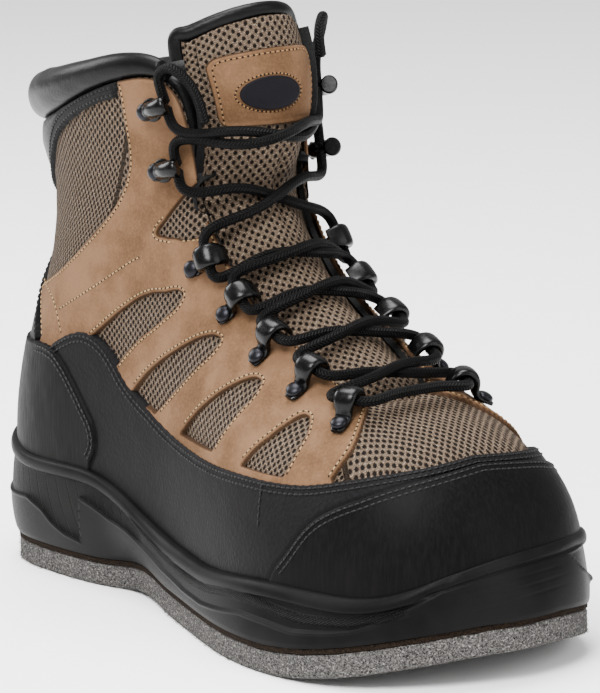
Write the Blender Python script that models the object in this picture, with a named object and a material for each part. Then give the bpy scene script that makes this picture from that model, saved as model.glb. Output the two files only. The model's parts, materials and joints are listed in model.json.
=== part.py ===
"""Wading boot for the right foot: felt outsole, rubber cup, mesh upper with leather overlays.

Metres, Z up. The toe points along +X and the inner side of the foot along +Y. The origin is
on the ground under the middle of the heel. Every form comes from the named sizes and from
the station tables, whose numbers are shares of those sizes.
"""
import bpy
import bmesh
import numpy as np

# Sizes
LENGTH = 0.320          # heel to toe of the foot form
BALL_WIDTH = 0.128      # across the ball of the foot
SHAFT = 0.219           # ground to the top edge of the shaft
HEEL_POINT = 0.156      # the origin, as a share of the length from the back of the heel
WALL = 0.0022           # thickness of the upper
LEATHER = 0.0016        # thickness of an overlay
GAP = 0.0003            # room between pieces that touch on the real boot
FIT = 0.0006            # room under an overlay, whose facets differ from the upper's
SEAT = 0.0012           # room under a quarter, which bends more than the others
FELT = 0.0095           # felt outsole
BACKING = 0.0020        # board on the felt
HEEL_BED = 0.0175       # rubber under the heel
BALL_BED = 0.0090       # rubber under the ball
TOE_SPRING = 0.0130     # lift of the sole at the toe
ARCH_LIFT = 0.0020      # lift of the sole at the waist
RIM = 0.0042            # thickness of the cup at its rim
ROLL = 0.0050           # height of the rounded rim
STEP = 0.0018           # depth of the band between the rim and the ridge
TONGUE_THICK = 0.0045   # padded tongue
BINDING = 0.0028        # radius of the binding on the tongue
HUG = 0.0005            # room between the tongue's edge and its binding
CLEAR = 0.0009          # room between the tongue and the wall over it
PAD = 0.0035            # swell of the pad at the back of the collar
CORD = 0.0043           # lace
SIDES = 31              # facets along each side of the foot

# Stations run from the toe, 0, to the back of the heel, 13. The outer side of the foot
# has the positive numbers and the inner side the negative ones.
# Columns: name, foot line from the heel (share of LENGTH), outer and inner half width
# (BALL_WIDTH), swell and rise of the rib above the foot line (BALL_WIDTH, SHAFT), swell and
# drop of the rib below the top edge (BALL_WIDTH, SHAFT), top edge from the heel (LENGTH),
# its half width (BALL_WIDTH) and height (SHAFT).
UPPER_STATIONS = (
    ("toe",         0.978, 0.000, 0.000, 0.031, 0.194, 0.328, 0.028, 0.769, 0.000, 0.454),
    ("toe_side",    0.966, 0.180, 0.222, 0.031, 0.185, 0.305, 0.032, 0.766, 0.070, 0.456),
    ("toe_corner",  0.916, 0.334, 0.372, 0.031, 0.181, 0.236, 0.037, 0.750, 0.125, 0.465),
    ("ball_front",  0.828, 0.422, 0.438, 0.039, 0.176, 0.190, 0.046, 0.722, 0.156, 0.481),
    ("ball",        0.738, 0.461, 0.453, 0.039, 0.185, 0.195, 0.065, 0.678, 0.164, 0.514),
    ("vamp",        0.634, 0.430, 0.414, 0.047, 0.194, 0.178, 0.088, 0.613, 0.172, 0.560),
    ("instep",      0.531, 0.367, 0.336, 0.055, 0.208, 0.141, 0.111, 0.544, 0.180, 0.616),
    ("waist",       0.431, 0.320, 0.273, 0.062, 0.231, 0.102, 0.139, 0.491, 0.182, 0.694),
    ("waist_back",  0.338, 0.312, 0.266, 0.062, 0.269, 0.062, 0.167, 0.455, 0.196, 0.790),
    ("ankle",       0.244, 0.320, 0.297, 0.062, 0.287, -0.016, 0.231, 0.428, 0.236, 0.975),
    ("heel_front",  0.144, 0.320, 0.312, 0.062, 0.296, -0.055, 0.269, 0.331, 0.312, 0.978),
    ("heel_side",   0.062, 0.258, 0.258, 0.062, 0.301, -0.080, 0.287, 0.197, 0.304, 0.905),
    ("heel_corner", 0.012, 0.150, 0.148, 0.070, 0.306, -0.124, 0.287, 0.098, 0.196, 0.862),
    ("heel_back",   -0.008, 0.000, 0.000, 0.066, 0.306, -0.150, 0.287, 0.052, 0.000, 0.845),
)
# Columns: name, sole edge from the heel (LENGTH), outer and inner half width (BALL_WIDTH),
# height of the rim on the outer and the inner side (SHAFT), flare of the cup (BALL_WIDTH).
SOLE_STATIONS = (
    ("toe",         1.006, 0.000, 0.000, 0.227, 0.227, 0.012),
    ("toe_side",    0.981, 0.219, 0.258, 0.206, 0.232, 0.012),
    ("toe_corner",  0.925, 0.406, 0.406, 0.168, 0.222, 0.008),
    ("ball_front",  0.844, 0.512, 0.492, 0.162, 0.190, 0.006),
    ("ball",        0.744, 0.535, 0.508, 0.162, 0.171, 0.006),
    ("vamp",        0.641, 0.500, 0.437, 0.146, 0.157, 0.010),
    ("instep",      0.531, 0.422, 0.352, 0.144, 0.153, 0.014),
    ("waist",       0.437, 0.350, 0.301, 0.162, 0.171, 0.022),
    ("waist_back",  0.337, 0.285, 0.281, 0.208, 0.210, 0.026),
    ("ankle",       0.250, 0.312, 0.305, 0.234, 0.234, 0.022),
    ("heel_front",  0.141, 0.332, 0.320, 0.231, 0.231, 0.018),
    ("heel_side",   0.056, 0.297, 0.273, 0.240, 0.240, 0.018),
    ("heel_corner", 0.012, 0.188, 0.164, 0.252, 0.252, 0.018),
    ("heel_back",   -0.006, 0.000, 0.000, 0.259, 0.259, 0.018),
)
# Columns: station, height of the raised ridge on the side of the cup (SHAFT).
RIDGE = (
    (0.0, 0.196), (1.0, 0.176), (1.6, 0.150), (2.0, 0.122), (2.7, 0.102), (3.6, 0.086),
    (5.3, 0.076), (6.4, 0.072), (7.3, 0.088), (7.8, 0.118), (8.4, 0.148), (8.95, 0.166),
    (9.2, 0.095), (9.7, 0.116), (10.1, 0.146), (10.5, 0.154), (13.0, 0.164),
)

# Overlay edges are rows of station and height share of the upper, for the outer side; the
# inner side mirrors them. Where an edge starts at the rim its height share is left at 0.
TOE_CAP_EDGE = (
    (3.72, 0.000), (3.41, 0.220), (3.00, 0.320), (2.05, 0.420), (1.09, 0.482), (0.00, 0.512),
)
RAND_TOP = (
    (0.00, 0.560), (1.32, 0.532), (2.39, 0.495), (4.33, 0.440), (5.84, 0.388), (6.91, 0.357),
    (8.18, 0.352), (9.23, 0.393), (9.54, 0.403), (9.89, 0.393), (10.19, 0.367),
)
COUNTER_EDGE = (
    (8.76, 0.000), (8.67, 0.173), (8.72, 0.195), (9.02, 0.240), (9.55, 0.305), (10.19, 0.367),
    (10.57, 0.378),
)
STRIP_EDGE = ((10.75, 0.390), (11.20, 0.470), (11.60, 0.550), (12.10, 0.650), (12.30, 0.780))
QUARTER_BACK = (
    (10.57, 0.392), (10.95, 0.470), (11.30, 0.540), (10.80, 0.560), (10.01, 0.635), (9.71, 0.700),
    (9.63, 0.780), (9.77, 0.880), (9.88, 0.992),
)
QUARTER_FRONT = ((2.42, 0.512), (2.05, 0.623), (1.63, 0.833), (1.40, 0.985))
BAND_LOW = ((9.94, 0.965), (10.29, 0.968), (11.04, 0.950), (11.77, 0.860), (12.40, 0.800), (13.0, 0.780))
BAND_WIDE = 0.050       # width of the collar band, as a share of the rib
# Slots in the quarter. Columns: name, rear edge at its foot, middle and tip, front edge at its
# foot and tip, each a station and a height share.
SLOTS = (
    ("slot_1", (9.32, 0.403), (8.58, 0.525), (7.60, 0.735), (8.56, 0.380), (7.46, 0.690)),
    ("slot_2", (7.91, 0.380), (7.27, 0.575), (6.10, 0.795), (7.14, 0.400), (5.92, 0.750)),
    ("slot_3", (6.23, 0.443), (5.47, 0.652), (4.72, 0.800), (5.24, 0.475), (4.55, 0.735)),
    ("slot_4", (4.38, 0.495), (3.98, 0.630), (3.30, 0.780), (3.48, 0.512), (3.05, 0.710)),
)
# The open notch under the hooks: rear low corner, rear top, front top, front low corner.
NOTCH = ((8.88, 0.612), (8.04, 1.020), (7.52, 1.020), (7.56, 0.930))
# Lace hardware from the toe up. Columns: name, rivet station and height share, station and
# height share under the middle of its arch.
LOOPS = (
    ("loop_1", 2.15, 0.763, 1.95, 0.870),
    ("loop_2", 3.74, 0.838, 3.63, 0.943),
    ("loop_3", 4.90, 0.863, 4.85, 0.963),
    ("loop_4", 6.03, 0.885, 5.85, 0.990),
    ("loop_5", 7.34, 0.845, 6.89, 0.963),
)
HOOKS = (
    ("hook_1", 8.90, 0.812, 8.42, 0.940),
    ("hook_2", 9.29, 0.930, 8.90, 0.990),
)
# The upper end of the tongue, which leans toward the inner side. Columns: edge from the heel
# (LENGTH), height (SHAFT), outer and inner half width and bulge of its middle (BALL_WIDTH),
# arch of the row (SHAFT).
TONGUE_TOP = (
    (0.463, 0.840, 0.165, 0.170, 0.106, 0.000),
    (0.466, 0.904, 0.172, 0.194, 0.110, 0.002),
    (0.465, 0.966, 0.196, 0.212, 0.112, 0.010),
    (0.461, 1.024, 0.222, 0.206, 0.110, 0.026),
    (0.457, 1.068, 0.226, 0.190, 0.104, 0.042),
)
TONGUE_LEAN = 0.30      # share by which the inner half bulges and rises more than the outer
# Columns: station, bulge of the middle of the tongue above the throat (BALL_WIDTH).
TONGUE_BULGE = ((1.0, 0.020), (2.6, 0.050), (4.0, 0.060), (5.0, 0.075), (6.2, 0.100), (7.8, 0.112))
PATCH_RISE = (0.780, 0.936)     # leather patch on the tongue, along it and across it
PATCH_SIDES = (-0.50, 0.50)
BADGE_RISE, BADGE_TALL = 0.846, 0.034
BADGE_SIDE, BADGE_HALF = -0.05, 0.27
# The padded roll on the collar. Columns: station, half width and half height (BALL_WIDTH),
# shift outward (BALL_WIDTH).
COLLAR = (
    (9.15, 0.014, 0.016, 0.000), (9.26, 0.028, 0.029, 0.000), (9.60, 0.036, 0.036, 0.000),
    (10.3, 0.048, 0.050, 0.004), (11.2, 0.064, 0.072, 0.006), (12.2, 0.070, 0.076, 0.006),
    (13.0, 0.072, 0.076, 0.006),
)


def spline(knots, rows):
    """Return a function that reads the smooth cubic curve through rows at knots."""
    k = np.array(knots, float)
    v = np.array(rows, float).reshape(len(k), -1)
    h = np.diff(k)[:, None]
    slope = np.diff(v, axis=0) / h
    count = len(k)
    system = np.eye(count)
    right = np.zeros_like(v)
    for i in range(1, count - 1):
        system[i, i - 1:i + 2] = h[i - 1, 0], 2 * (h[i - 1, 0] + h[i, 0]), h[i, 0]
        right[i] = 6 * (slope[i] - slope[i - 1])
    bend = np.linalg.solve(system, right)

    def read(at):
        at = np.asarray(at, float)
        i = np.clip(np.searchsorted(k, at) - 1, 0, count - 2)
        w = h[i]
        d = (at - k[i])[..., None]
        e = (k[i + 1] - at)[..., None]
        curve = (bend[i] * e ** 3 + bend[i + 1] * d ** 3) / (6 * w)
        return curve + (v[i] / w - bend[i] * w / 6) * e + (v[i + 1] / w - bend[i + 1] * w / 6) * d
    return read


def steps(table, at):
    """Read a two-column table at station numbers of either side, straight between rows."""
    rows = np.array(table)
    return np.interp(np.abs(at), rows[:, 0], rows[:, 1])


def blend(low, high, at):
    """Go smoothly from 0 at low to 1 at high."""
    s = np.clip((at - low) / (high - low), 0, 1)
    return s * s * (3 - 2 * s)


def ground(x):
    """Height of the underside of the felt: flat at heel and ball, lifted at waist and toe."""
    share = x / LENGTH + HEEL_POINT
    toe = TOE_SPRING * np.clip((share - 0.745) / 0.255, 0, 1) ** 1.8
    arch = ARCH_LIFT * np.sin(np.pi * np.clip((share - 0.26) / 0.20, 0, 1)) ** 2
    return toe + arch


def sole_top(x):
    """Height of the upper face of the felt and its board."""
    return ground(x) + FELT + GAP + BACKING


def bed(x):
    """Height of the floor inside the cup."""
    share = x / LENGTH + HEEL_POINT
    return sole_top(x) + GAP + HEEL_BED + (BALL_BED - HEEL_BED) * blend(0.30, 0.66, share)


def both_sides(table, outer, inner, shared):
    """Rows round the foot: toe, outer side, heel, inner side, toe. Half widths get signs."""
    lateral = [[row[c] for c in shared] + [-row[outer]] for row in table]
    medial = [[row[c] for c in shared] + [row[inner]] for row in table]
    return np.array(lateral + medial[-2:0:-1] + lateral[:1])


LAST_STATION = len(UPPER_STATIONS) - 1
TURN = 2 * LAST_STATION
foot_x = both_sides(UPPER_STATIONS, 2, 3, (1, 4, 5, 6, 7, 8, 9, 10))
side_sign = np.sign(np.r_[0, -np.ones(LAST_STATION - 1), 0, np.ones(LAST_STATION - 1), 0])
foot_rows = np.column_stack([
    (foot_x[:, 0] - HEEL_POINT) * LENGTH,
    foot_x[:, 8] * BALL_WIDTH,
    foot_x[:, 1] * BALL_WIDTH,
    foot_x[:, 2] * SHAFT,
    foot_x[:, 3] * BALL_WIDTH,
    foot_x[:, 4] * SHAFT,
    (foot_x[:, 5] - HEEL_POINT) * LENGTH,
    side_sign * foot_x[:, 6] * BALL_WIDTH,
    foot_x[:, 7] * SHAFT,
])
sole_x = both_sides(SOLE_STATIONS, 2, 3, (1, 6))
rim_x = both_sides(SOLE_STATIONS, 2, 3, (4, 5))
rim_height = np.where(side_sign > 0, rim_x[:, 1], rim_x[:, 0])
sole_rows = np.column_stack([
    (sole_x[:, 0] - HEEL_POINT) * LENGTH,
    sole_x[:, 2] * BALL_WIDTH,
    rim_height * SHAFT,
    sole_x[:, 1] * BALL_WIDTH,
])
# The distance round the foot at each station, the mean of the foot line and the top edge.
leg = np.linalg.norm(np.diff(foot_rows[:, :2], axis=0), axis=1)
leg = leg + np.linalg.norm(np.diff(foot_rows[:, 6:], axis=0), axis=1)
round_foot = np.concatenate([[0], np.cumsum(leg)])


def closed_spline(rows):
    """A smooth curve through rows round the foot, without a seam at the toe."""
    whole = round_foot[-1]
    knots = np.concatenate([round_foot[:-1] - whole, round_foot[:-1], round_foot + whole])
    return spline(knots, np.vstack([rows[:-1], rows[:-1], rows]))


read_foot = closed_spline(foot_rows)
read_sole = closed_spline(sole_rows)


def place(station):
    """Distance round the foot at a station number of either side."""
    return np.interp(np.mod(station, TURN), np.arange(TURN + 1), round_foot)


def outward(curve, where):
    """Level direction out of the foot from a curve's first two columns."""
    step = 1e-5
    run = (curve(where + step) - curve(where - step))[..., :2]
    run = run / np.linalg.norm(run, axis=-1, keepdims=True)
    return np.stack([-run[..., 1], run[..., 0], np.zeros(run.shape[:-1])], axis=-1)


def rib(where, up):
    """Point of the upper: a cubic rib from the foot line, up 0, to the top edge, up 1."""
    row = read_foot(where)
    out = outward(read_foot, where)
    foot = np.concatenate([row[..., :2], bed(row[..., :1]) + GAP], axis=-1)
    top = row[..., 6:9]
    rise = np.zeros_like(foot)
    rise[..., 2] = row[..., 3]
    drop = np.zeros_like(foot)
    drop[..., 2] = row[..., 5]
    low = foot + out * row[..., 2:3] + rise
    high = top + out * row[..., 4:5] - drop
    t = up[..., None]
    s = 1 - t
    return s ** 3 * foot + 3 * s * s * t * low + 3 * s * t * t * high + t ** 3 * top


def upper(station, up, off=0.0):
    """Point of the upper at a station and a height share, set off along the outward normal."""
    station, up = np.broadcast_arrays(np.asarray(station, float), np.asarray(up, float))
    where = place(station)
    step = 1e-5
    part = 1e-4
    low = np.clip(up, part, 1 - part)
    across = rib(where + step, low) - rib(where - step, low)
    along = rib(where, low + part) - rib(where, low - part)
    normal = np.cross(along, across)
    normal = normal / np.linalg.norm(normal, axis=-1, keepdims=True)
    return rib(where, up) + normal * np.asarray(off)[..., None]


def rim_share(station):
    """Height share of the upper at which the rim of the cup meets it."""
    station = np.asarray(station, float)
    shares = np.linspace(0, 0.6, 61)
    heights = upper(station[..., None], shares)[..., 2]
    rim = read_sole(place(station))[..., 2]
    flat = heights.reshape(-1, len(shares))
    found = [np.interp(z, row, shares) for z, row in zip(rim.reshape(-1), flat)]
    return np.array(found).reshape(station.shape)


def ring(half):
    """Station numbers evenly round the foot: toe, outer side, heel, inner side."""
    side = np.interp(np.linspace(0, round_foot[LAST_STATION], half + 1),
                     round_foot[:LAST_STATION + 1], np.arange(LAST_STATION + 1))
    return np.concatenate([side, -side[-2:0:-1]])


# Blender side: objects, solids and materials

for old in list(bpy.data.objects):
    bpy.data.objects.remove(old, do_unlink=True)
boot = bpy.data.collections.new("wading_boot")
cutters = bpy.data.collections.new("cutters")
bpy.context.scene.collection.children.link(boot)
bpy.context.scene.collection.children.link(cutters)


def finish(name, colour, rough, metal=0.0):
    """A plain material with its own name."""
    made = bpy.data.materials.new(name)
    made.use_nodes = True
    node = made.node_tree.nodes["Principled BSDF"]
    node.inputs["Base Color"].default_value = (*colour, 1.0)
    node.inputs["Roughness"].default_value = rough
    node.inputs["Metallic"].default_value = metal
    return made


def solid(name, points, faces, made):
    """A closed body from points and faces, with its faces turned outward."""
    mesh = bpy.data.meshes.new(name)
    mesh.from_pydata([tuple(p) for p in points], [], [tuple(f) for f in faces])
    work = bmesh.new()
    work.from_mesh(mesh)
    bmesh.ops.remove_doubles(work, verts=work.verts, dist=1e-6)
    bmesh.ops.recalc_face_normals(work, faces=work.faces)
    bmesh.ops.triangulate(work, faces=work.faces[:], quad_method="SHORT_EDGE")
    work.to_mesh(mesh)
    work.free()
    mesh.shade_smooth()
    mesh.set_sharp_from_angle(angle=0.7)
    mesh.materials.append(made)
    thing = bpy.data.objects.new(name, mesh)
    boot.objects.link(thing)
    return thing


def sheet(name, outer, inner, made, wrap=False):
    """A body between two grids of points, closed at their edges. Wrap joins its two ends."""
    rows, columns = outer.shape[:2]
    points = np.concatenate([outer.reshape(-1, 3), inner.reshape(-1, 3)])
    far = rows * columns
    last = rows if wrap else rows - 1
    faces = []
    for i in range(last):
        k = (i + 1) % rows
        for j in range(columns - 1):
            a, b = i * columns + j, i * columns + j + 1
            c, d = k * columns + j + 1, k * columns + j
            faces.append((a, b, c, d))
            faces.append((far + a, far + d, far + c, far + b))
        for j in (0, columns - 1):
            a, d = i * columns + j, k * columns + j
            faces.append((a, d, far + d, far + a))
    if not wrap:
        for i in (0, rows - 1):
            for j in range(columns - 1):
                a, b = i * columns + j, i * columns + j + 1
                faces.append((a, b, far + b, far + a))
    return solid(name, points, faces, made)


def tray(name, loops, made):
    """A body through closed loops round the foot; ladders from side to side close its ends."""
    count = len(loops[0])
    half = count // 2
    faces = []
    for k in range(len(loops) - 1):
        for i in range(count):
            n = (i + 1) % count
            faces.append((k * count + i, k * count + n, (k + 1) * count + n, (k + 1) * count + i))
    for k in (0, len(loops) - 1):
        base = k * count
        faces.append((base, base + 1, base + count - 1))
        faces.append((base + half - 1, base + half, base + half + 1))
        for i in range(1, half - 1):
            faces.append((base + i, base + i + 1, base + count - i - 1, base + count - i))
    return solid(name, np.concatenate(loops), faces, made)


felt_grey = finish("felt", (0.27, 0.26, 0.25), 0.95)
board_brown = finish("felt_board", (0.12, 0.08, 0.05), 0.85)
rubber = finish("cup_rubber", (0.024, 0.022, 0.022), 0.55)
fabric = finish("upper_mesh", (0.25, 0.17, 0.12), 0.85)
lining = finish("footbed", (0.06, 0.06, 0.06), 0.9)

# Sole


def edge_loop(stations, out, height):
    """The sole's outline, set out level, at a height that is a function of x."""
    where = place(stations)
    row = read_sole(where)
    flat = np.concatenate([row[..., :2], np.zeros(row.shape[:-1] + (1,))], axis=-1)
    loop = flat + outward(read_sole, where) * np.asarray(out)[..., None]
    loop[..., 2] = height(loop[..., 0])
    return loop


def build_sole():
    """Felt, its board and the rubber cup with rim, band and ridge."""
    around = ring(32)
    soft = 0.0012
    tray("felt_sole", [
        edge_loop(around, -soft, ground),
        edge_loop(around, 0.0, lambda x: ground(x) + soft),
        edge_loop(around, 0.0, lambda x: ground(x) + FELT),
    ], felt_grey)
    tray("felt_board", [
        edge_loop(around, 0.0004, lambda x: ground(x) + FELT + GAP),
        edge_loop(around, 0.0004, sole_top),
    ], board_brown)
    around = ring(SIDES)
    where = place(around)
    share = rim_share(around)
    flare = read_sole(where)[:, 3:4]
    foot = edge_loop(around, 0.0008, lambda x: sole_top(x) + GAP)
    inside = upper(around, share, GAP)
    out = outward(read_foot, where)
    lip = inside + out * RIM
    ridge = steps(RIDGE, around) * SHAFT

    def side(height, push):
        """A loop on the side between foot and lip, at its own heights, pushed out."""
        part = ((height - foot[:, 2]) / (lip[:, 2] - foot[:, 2]))[:, None]
        loop = foot + (lip - foot) * part + out * (push + flare * np.sin(np.pi * part ** 0.8))
        loop[:, 2] = height
        return loop
    roll_low = lip[:, 2] - ROLL
    crest = np.minimum(ridge, roll_low - 0.0016)
    crest = np.maximum(crest, foot[:, 2] + 0.0030)
    under = np.minimum(crest + 0.0014, roll_low - 0.0008)
    depths = np.array([0.90, 0.45, 0.0])
    loops = [
        foot,
        side(foot[:, 2] + 0.5 * (crest - foot[:, 2]), 0.0008),
        side(crest, 0.0010),
        side(under, -STEP),
        side(roll_low - 0.0003, -STEP),
        side(roll_low + 0.0006, -0.0004),
        side(roll_low + 0.55 * ROLL, 0.0006),
        lip - out * 0.0016,
        inside,
    ]
    loops += [upper(around, share * d, GAP) for d in depths]
    loops[-1][:, 2] = bed(loops[-1][:, 0])
    tray("cup_sole", loops, rubber)


def build_upper():
    """The upper, one wall open at the collar, the throat and underneath, and the footbed."""
    around = ring(SIDES)[:, None]
    up = np.array([0, 0.08, 0.18, 0.30, 0.43, 0.56, 0.69, 0.81, 0.92, 1.0])[None, :]
    sheet("upper", upper(around, up), upper(around, up, -WALL), fabric, wrap=True)
    around = ring(32)
    edge = upper(around, 0.0, -WALL - 2 * GAP)
    low = edge.copy()
    low[:, 2] = bed(low[:, 0]) + GAP
    high = upper(around, 0.03, -WALL - 2 * GAP)
    high[:, 2] = bed(high[:, 0]) + GAP + 0.0040
    tray("insole", [low, high], lining)


# Overlays cut between two forms set off from the upper


def through(rows, count):
    """Points evenly along a line through rows of station and height share."""
    rows = np.array(rows, float)
    scale = np.array([BALL_WIDTH / 4, SHAFT])
    run = np.linalg.norm(np.diff(rows, axis=0) * scale, axis=1)
    at = np.concatenate([[0], np.cumsum(run)])
    pick = np.linspace(0, at[-1], count)
    return np.column_stack([np.interp(pick, at, rows[:, c]) for c in (0, 1)])


def patch(bottom, top, left, right, across, up):
    """Station and height grid between four lines that meet at its corners."""
    low, high = through(bottom, across)[:, None], through(top, across)[:, None]
    near, far = through(left, up)[None], through(right, up)[None]
    u = np.linspace(0, 1, across)[:, None, None]
    v = np.linspace(0, 1, up)[None, :, None]
    corners = (1 - u) * ((1 - v) * low[:1] + v * high[:1]) + u * ((1 - v) * low[-1:] + v * high[-1:])
    return (1 - v) * low + v * high + (1 - u) * near + u * far - corners


def overlay(name, grid, made, thick=LEATHER, lift=FIT):
    """A leather or rubber piece on the upper over a station and height grid."""
    outer = upper(grid[..., 0], grid[..., 1], lift + thick)
    return sheet(name, outer, upper(grid[..., 0], grid[..., 1], lift), made)


def mirrored(rows):
    """The same line on the inner side of the foot, read the other way."""
    return [(-a, b) for a, b in rows[::-1]]


def on_rim(rows):
    """Raise the rows whose height share is 0 to just above the rim of the cup."""
    room = 0.010
    return [(a, max(b, float(rim_share(a)) + room)) if b == 0 else (a, b) for a, b in rows]


def moved(rows, station, share):
    """Shift a line by a station and a height share."""
    return [(a + station, b + share) for a, b in rows]


leather = finish("nubuck", (0.43, 0.25, 0.13), 0.85)
rand_grey = finish("rand_rubber", (0.047, 0.046, 0.046), 0.6)
cap_black = finish("cap_rubber", (0.014, 0.012, 0.012), 0.45)
soft_black = finish("collar_leather", (0.022, 0.021, 0.021), 0.35)
trim_black = finish("trim_webbing", (0.03, 0.03, 0.03), 0.8)


def across_toe(rows):
    """A line from the outer side over the toe or heel to the inner side."""
    whole = list(rows) + mirrored(rows)[1:]
    return on_rim(whole)


def round_heel(rows):
    """Turn inner stations into numbers past the heel, so that a line runs round the back."""
    return [(a + TURN if a < 0 else a, b) for a, b in rows]


def rim_rows(first, last, count):
    """Rows on the rim between two stations."""
    return [(a, 0.0) for a in np.linspace(first, last, count)]


def build_overlays():
    """Toe cap, rand, heel counter, heel strip and collar band."""
    corner = TOE_CAP_EDGE[0][0]
    start = on_rim(TOE_CAP_EDGE[:1])[0]
    left = [start, (corner - 0.04, start[1] + 0.03)]
    other = on_rim([(-corner, 0.0)])[0]
    right = [other, (0.10 - corner, other[1] + 0.01)]
    top = [left[1]] + across_toe(TOE_CAP_EDGE)[1:-1] + [right[1]]
    low = on_rim(rim_rows(corner, -corner, 33))
    overlay("toe_cap", patch(low, top, left, right, 27, 6), cap_black)
    front = moved(COUNTER_EDGE[:6], -0.07, 0.0)
    low = rim_rows(front[0][0], corner + 0.10, 25) + moved(TOE_CAP_EDGE[1:], 0.06, 0.016)
    band = [front[-1]] + list(RAND_TOP[-2::-1])
    band = band + mirrored(band)[1:]
    overlay("rand", patch(across_toe(low), band, on_rim(front), on_rim(mirrored(front))[::-1],
                          61, 4), rand_grey)
    corner, crown = COUNTER_EDGE[0][0], COUNTER_EDGE[-1]
    low = round_heel(on_rim(rim_rows(corner, LAST_STATION, 13)
                            + rim_rows(-LAST_STATION, -corner, 13)[1:]))
    high = [crown, (LAST_STATION, 0.400), (TURN - crown[0], crown[1])]
    far = round_heel(on_rim(mirrored(COUNTER_EDGE)))[::-1]
    overlay("heel_counter", patch(low, high, on_rim(COUNTER_EDGE), far, 25, 5), cap_black)
    far = [(TURN - a, b) for a, b in STRIP_EDGE]
    low = [STRIP_EDGE[0], (LAST_STATION, 0.412), far[0]]
    overlay("heel_strip", patch(low, [STRIP_EDGE[-1], far[-1]], STRIP_EDGE, far, 11, 8), cap_black)
    top = [(a, min(b + BAND_WIDE, 0.998)) for a, b in BAND_LOW]
    low = list(BAND_LOW) + [(TURN - a, b) for a, b in BAND_LOW[-2::-1]]
    high = top + [(TURN - a, b) for a, b in top[-2::-1]]
    ends = [low[0], high[0]], [low[-1], high[-1]]
    overlay("collar_band", patch(low, high, *ends, 37, 3), trim_black)
    pad = [(a, min(b + 0.016, 0.990)) for a, b in top[3:]]
    low = pad + [(TURN - a, b) for a, b in pad[-2::-1]]
    high = [(a, 0.998) for a, b in low]
    ends = [low[0], (low[0][0], 0.998)], [low[-1], (low[-1][0], 0.998)]
    grid = patch(low, high, *ends, 21, 4)
    puff = np.sin(np.pi * np.linspace(0, 1, 21))[:, None] * np.sin(np.pi * np.linspace(0, 1, 4))
    overlay("collar_pad", grid, soft_black, LEATHER + PAD * puff)


def slot_cutter(name, side, rear, middle, tip, foot, front_tip):
    """A block over one slot of a quarter: straight sides, a round tip."""
    share = np.array([-0.12, 0.0, 0.3, 0.6, 0.82, 0.93, 1.0, 1.03])
    width = np.array([1.0, 1.0, 1.0, 1.0, 1.0, 0.86, 0.55, 0.20])
    rear, middle, tip, foot, front_tip = map(np.array, (rear, middle, tip, foot, front_tip))
    s = share[:, None]
    bend = middle - (rear + tip) / 2
    back_line = rear + (tip - rear) * s + 4 * bend * s * (1 - s) * 0.5
    front_line = foot + (front_tip - foot) * s
    centre = (back_line + front_line) / 2
    half = (back_line - front_line) / 2 * width[:, None]
    grid = np.stack([centre + half, centre, centre - half], axis=1)
    outer = upper(side * grid[..., 0], grid[..., 1], 0.006)
    thing = sheet(name, outer, upper(side * grid[..., 0], grid[..., 1], -0.001), leather)
    as_cutter(thing)
    return thing


def as_cutter(thing):
    """Move a body to the cutters and hide it."""
    boot.objects.unlink(thing)
    cutters.objects.link(thing)
    thing.hide_render = True
    thing.display_type = "WIRE"


def build_quarters():
    """The tan quarter of each side, with four slots and the notch under the hooks."""
    for label, side in (("outer", 1), ("inner", -1)):
        low = [QUARTER_BACK[0]] + [(a, b + 0.004) for a, b in RAND_TOP[-1:1:-1]]
        low[-1] = QUARTER_FRONT[0]
        edge = [QUARTER_BACK[-1], (9.2, 0.992), (7.5, 0.990), (4.0, 0.988), (2.2, 0.986),
                QUARTER_FRONT[-1]]
        grid = patch(low, edge, QUARTER_BACK, QUARTER_FRONT, 35, 7)
        grid[..., 0] *= side
        panel = overlay("quarter_" + label, grid, leather, LEATHER, SEAT)
        blocks = [slot_cutter(row[0] + "_" + label, side, *row[1:]) for row in SLOTS]
        corners = np.array([[NOTCH[0], NOTCH[1]], [NOTCH[3], NOTCH[2]]])
        outer = upper(side * corners[..., 0], corners[..., 1], 0.006)
        inner = upper(side * corners[..., 0], corners[..., 1], -0.001)
        block = sheet("notch_" + label, outer, inner, leather)
        as_cutter(block)
        blocks.append(block)
        for block in blocks:
            cut = panel.modifiers.new(block.name, "BOOLEAN")
            cut.operation = "DIFFERENCE"
            cut.solver = "EXACT"
            cut.object = block


def build_collar():
    """The padded roll on the top edge of the shaft, from one hook to the other."""
    rows = np.array(COLLAR)
    half = np.interp(np.linspace(0, 1, 12), np.linspace(0, 1, len(rows)), rows[:, 0])
    stations = np.concatenate([half, TURN - half[-2::-1]])
    size = [np.interp(np.minimum(stations, TURN - stations), rows[:, 0], rows[:, c])
            for c in (1, 2, 3)]
    wide, tall, shift = [value[:, None] * BALL_WIDTH for value in size]
    top = upper(stations, 1.0, -WALL / 2)
    out = outward(read_foot, place(stations))
    up = np.array([0.0, 0.0, 1.0])
    centre = top + up * (tall + GAP) + out * shift
    angle = np.linspace(0, 2 * np.pi, 11)[:-1]
    loops = centre[:, None] + out[:, None] * (wide * np.cos(angle))[..., None] \
        + up * (tall * np.sin(angle))[..., None]
    pipe("collar_roll", loops, soft_black)


def pipe(name, loops, made):
    """A body through closed loops in a row, with flat ends."""
    rows, count = loops.shape[:2]
    faces = []
    for i in range(rows - 1):
        for j in range(count):
            n = (j + 1) % count
            faces.append((i * count + j, i * count + n, (i + 1) * count + n, (i + 1) * count + j))
    faces.append(tuple(range(count)))
    faces.append(tuple((rows - 1) * count + j for j in range(count)))
    return solid(name, loops.reshape(-1, 3), faces, made)


# Tongue: rows over the throat, lapped under its edges, then rows standing above the collar

LAP = (0.14, 0.07, 0.0)


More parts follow.
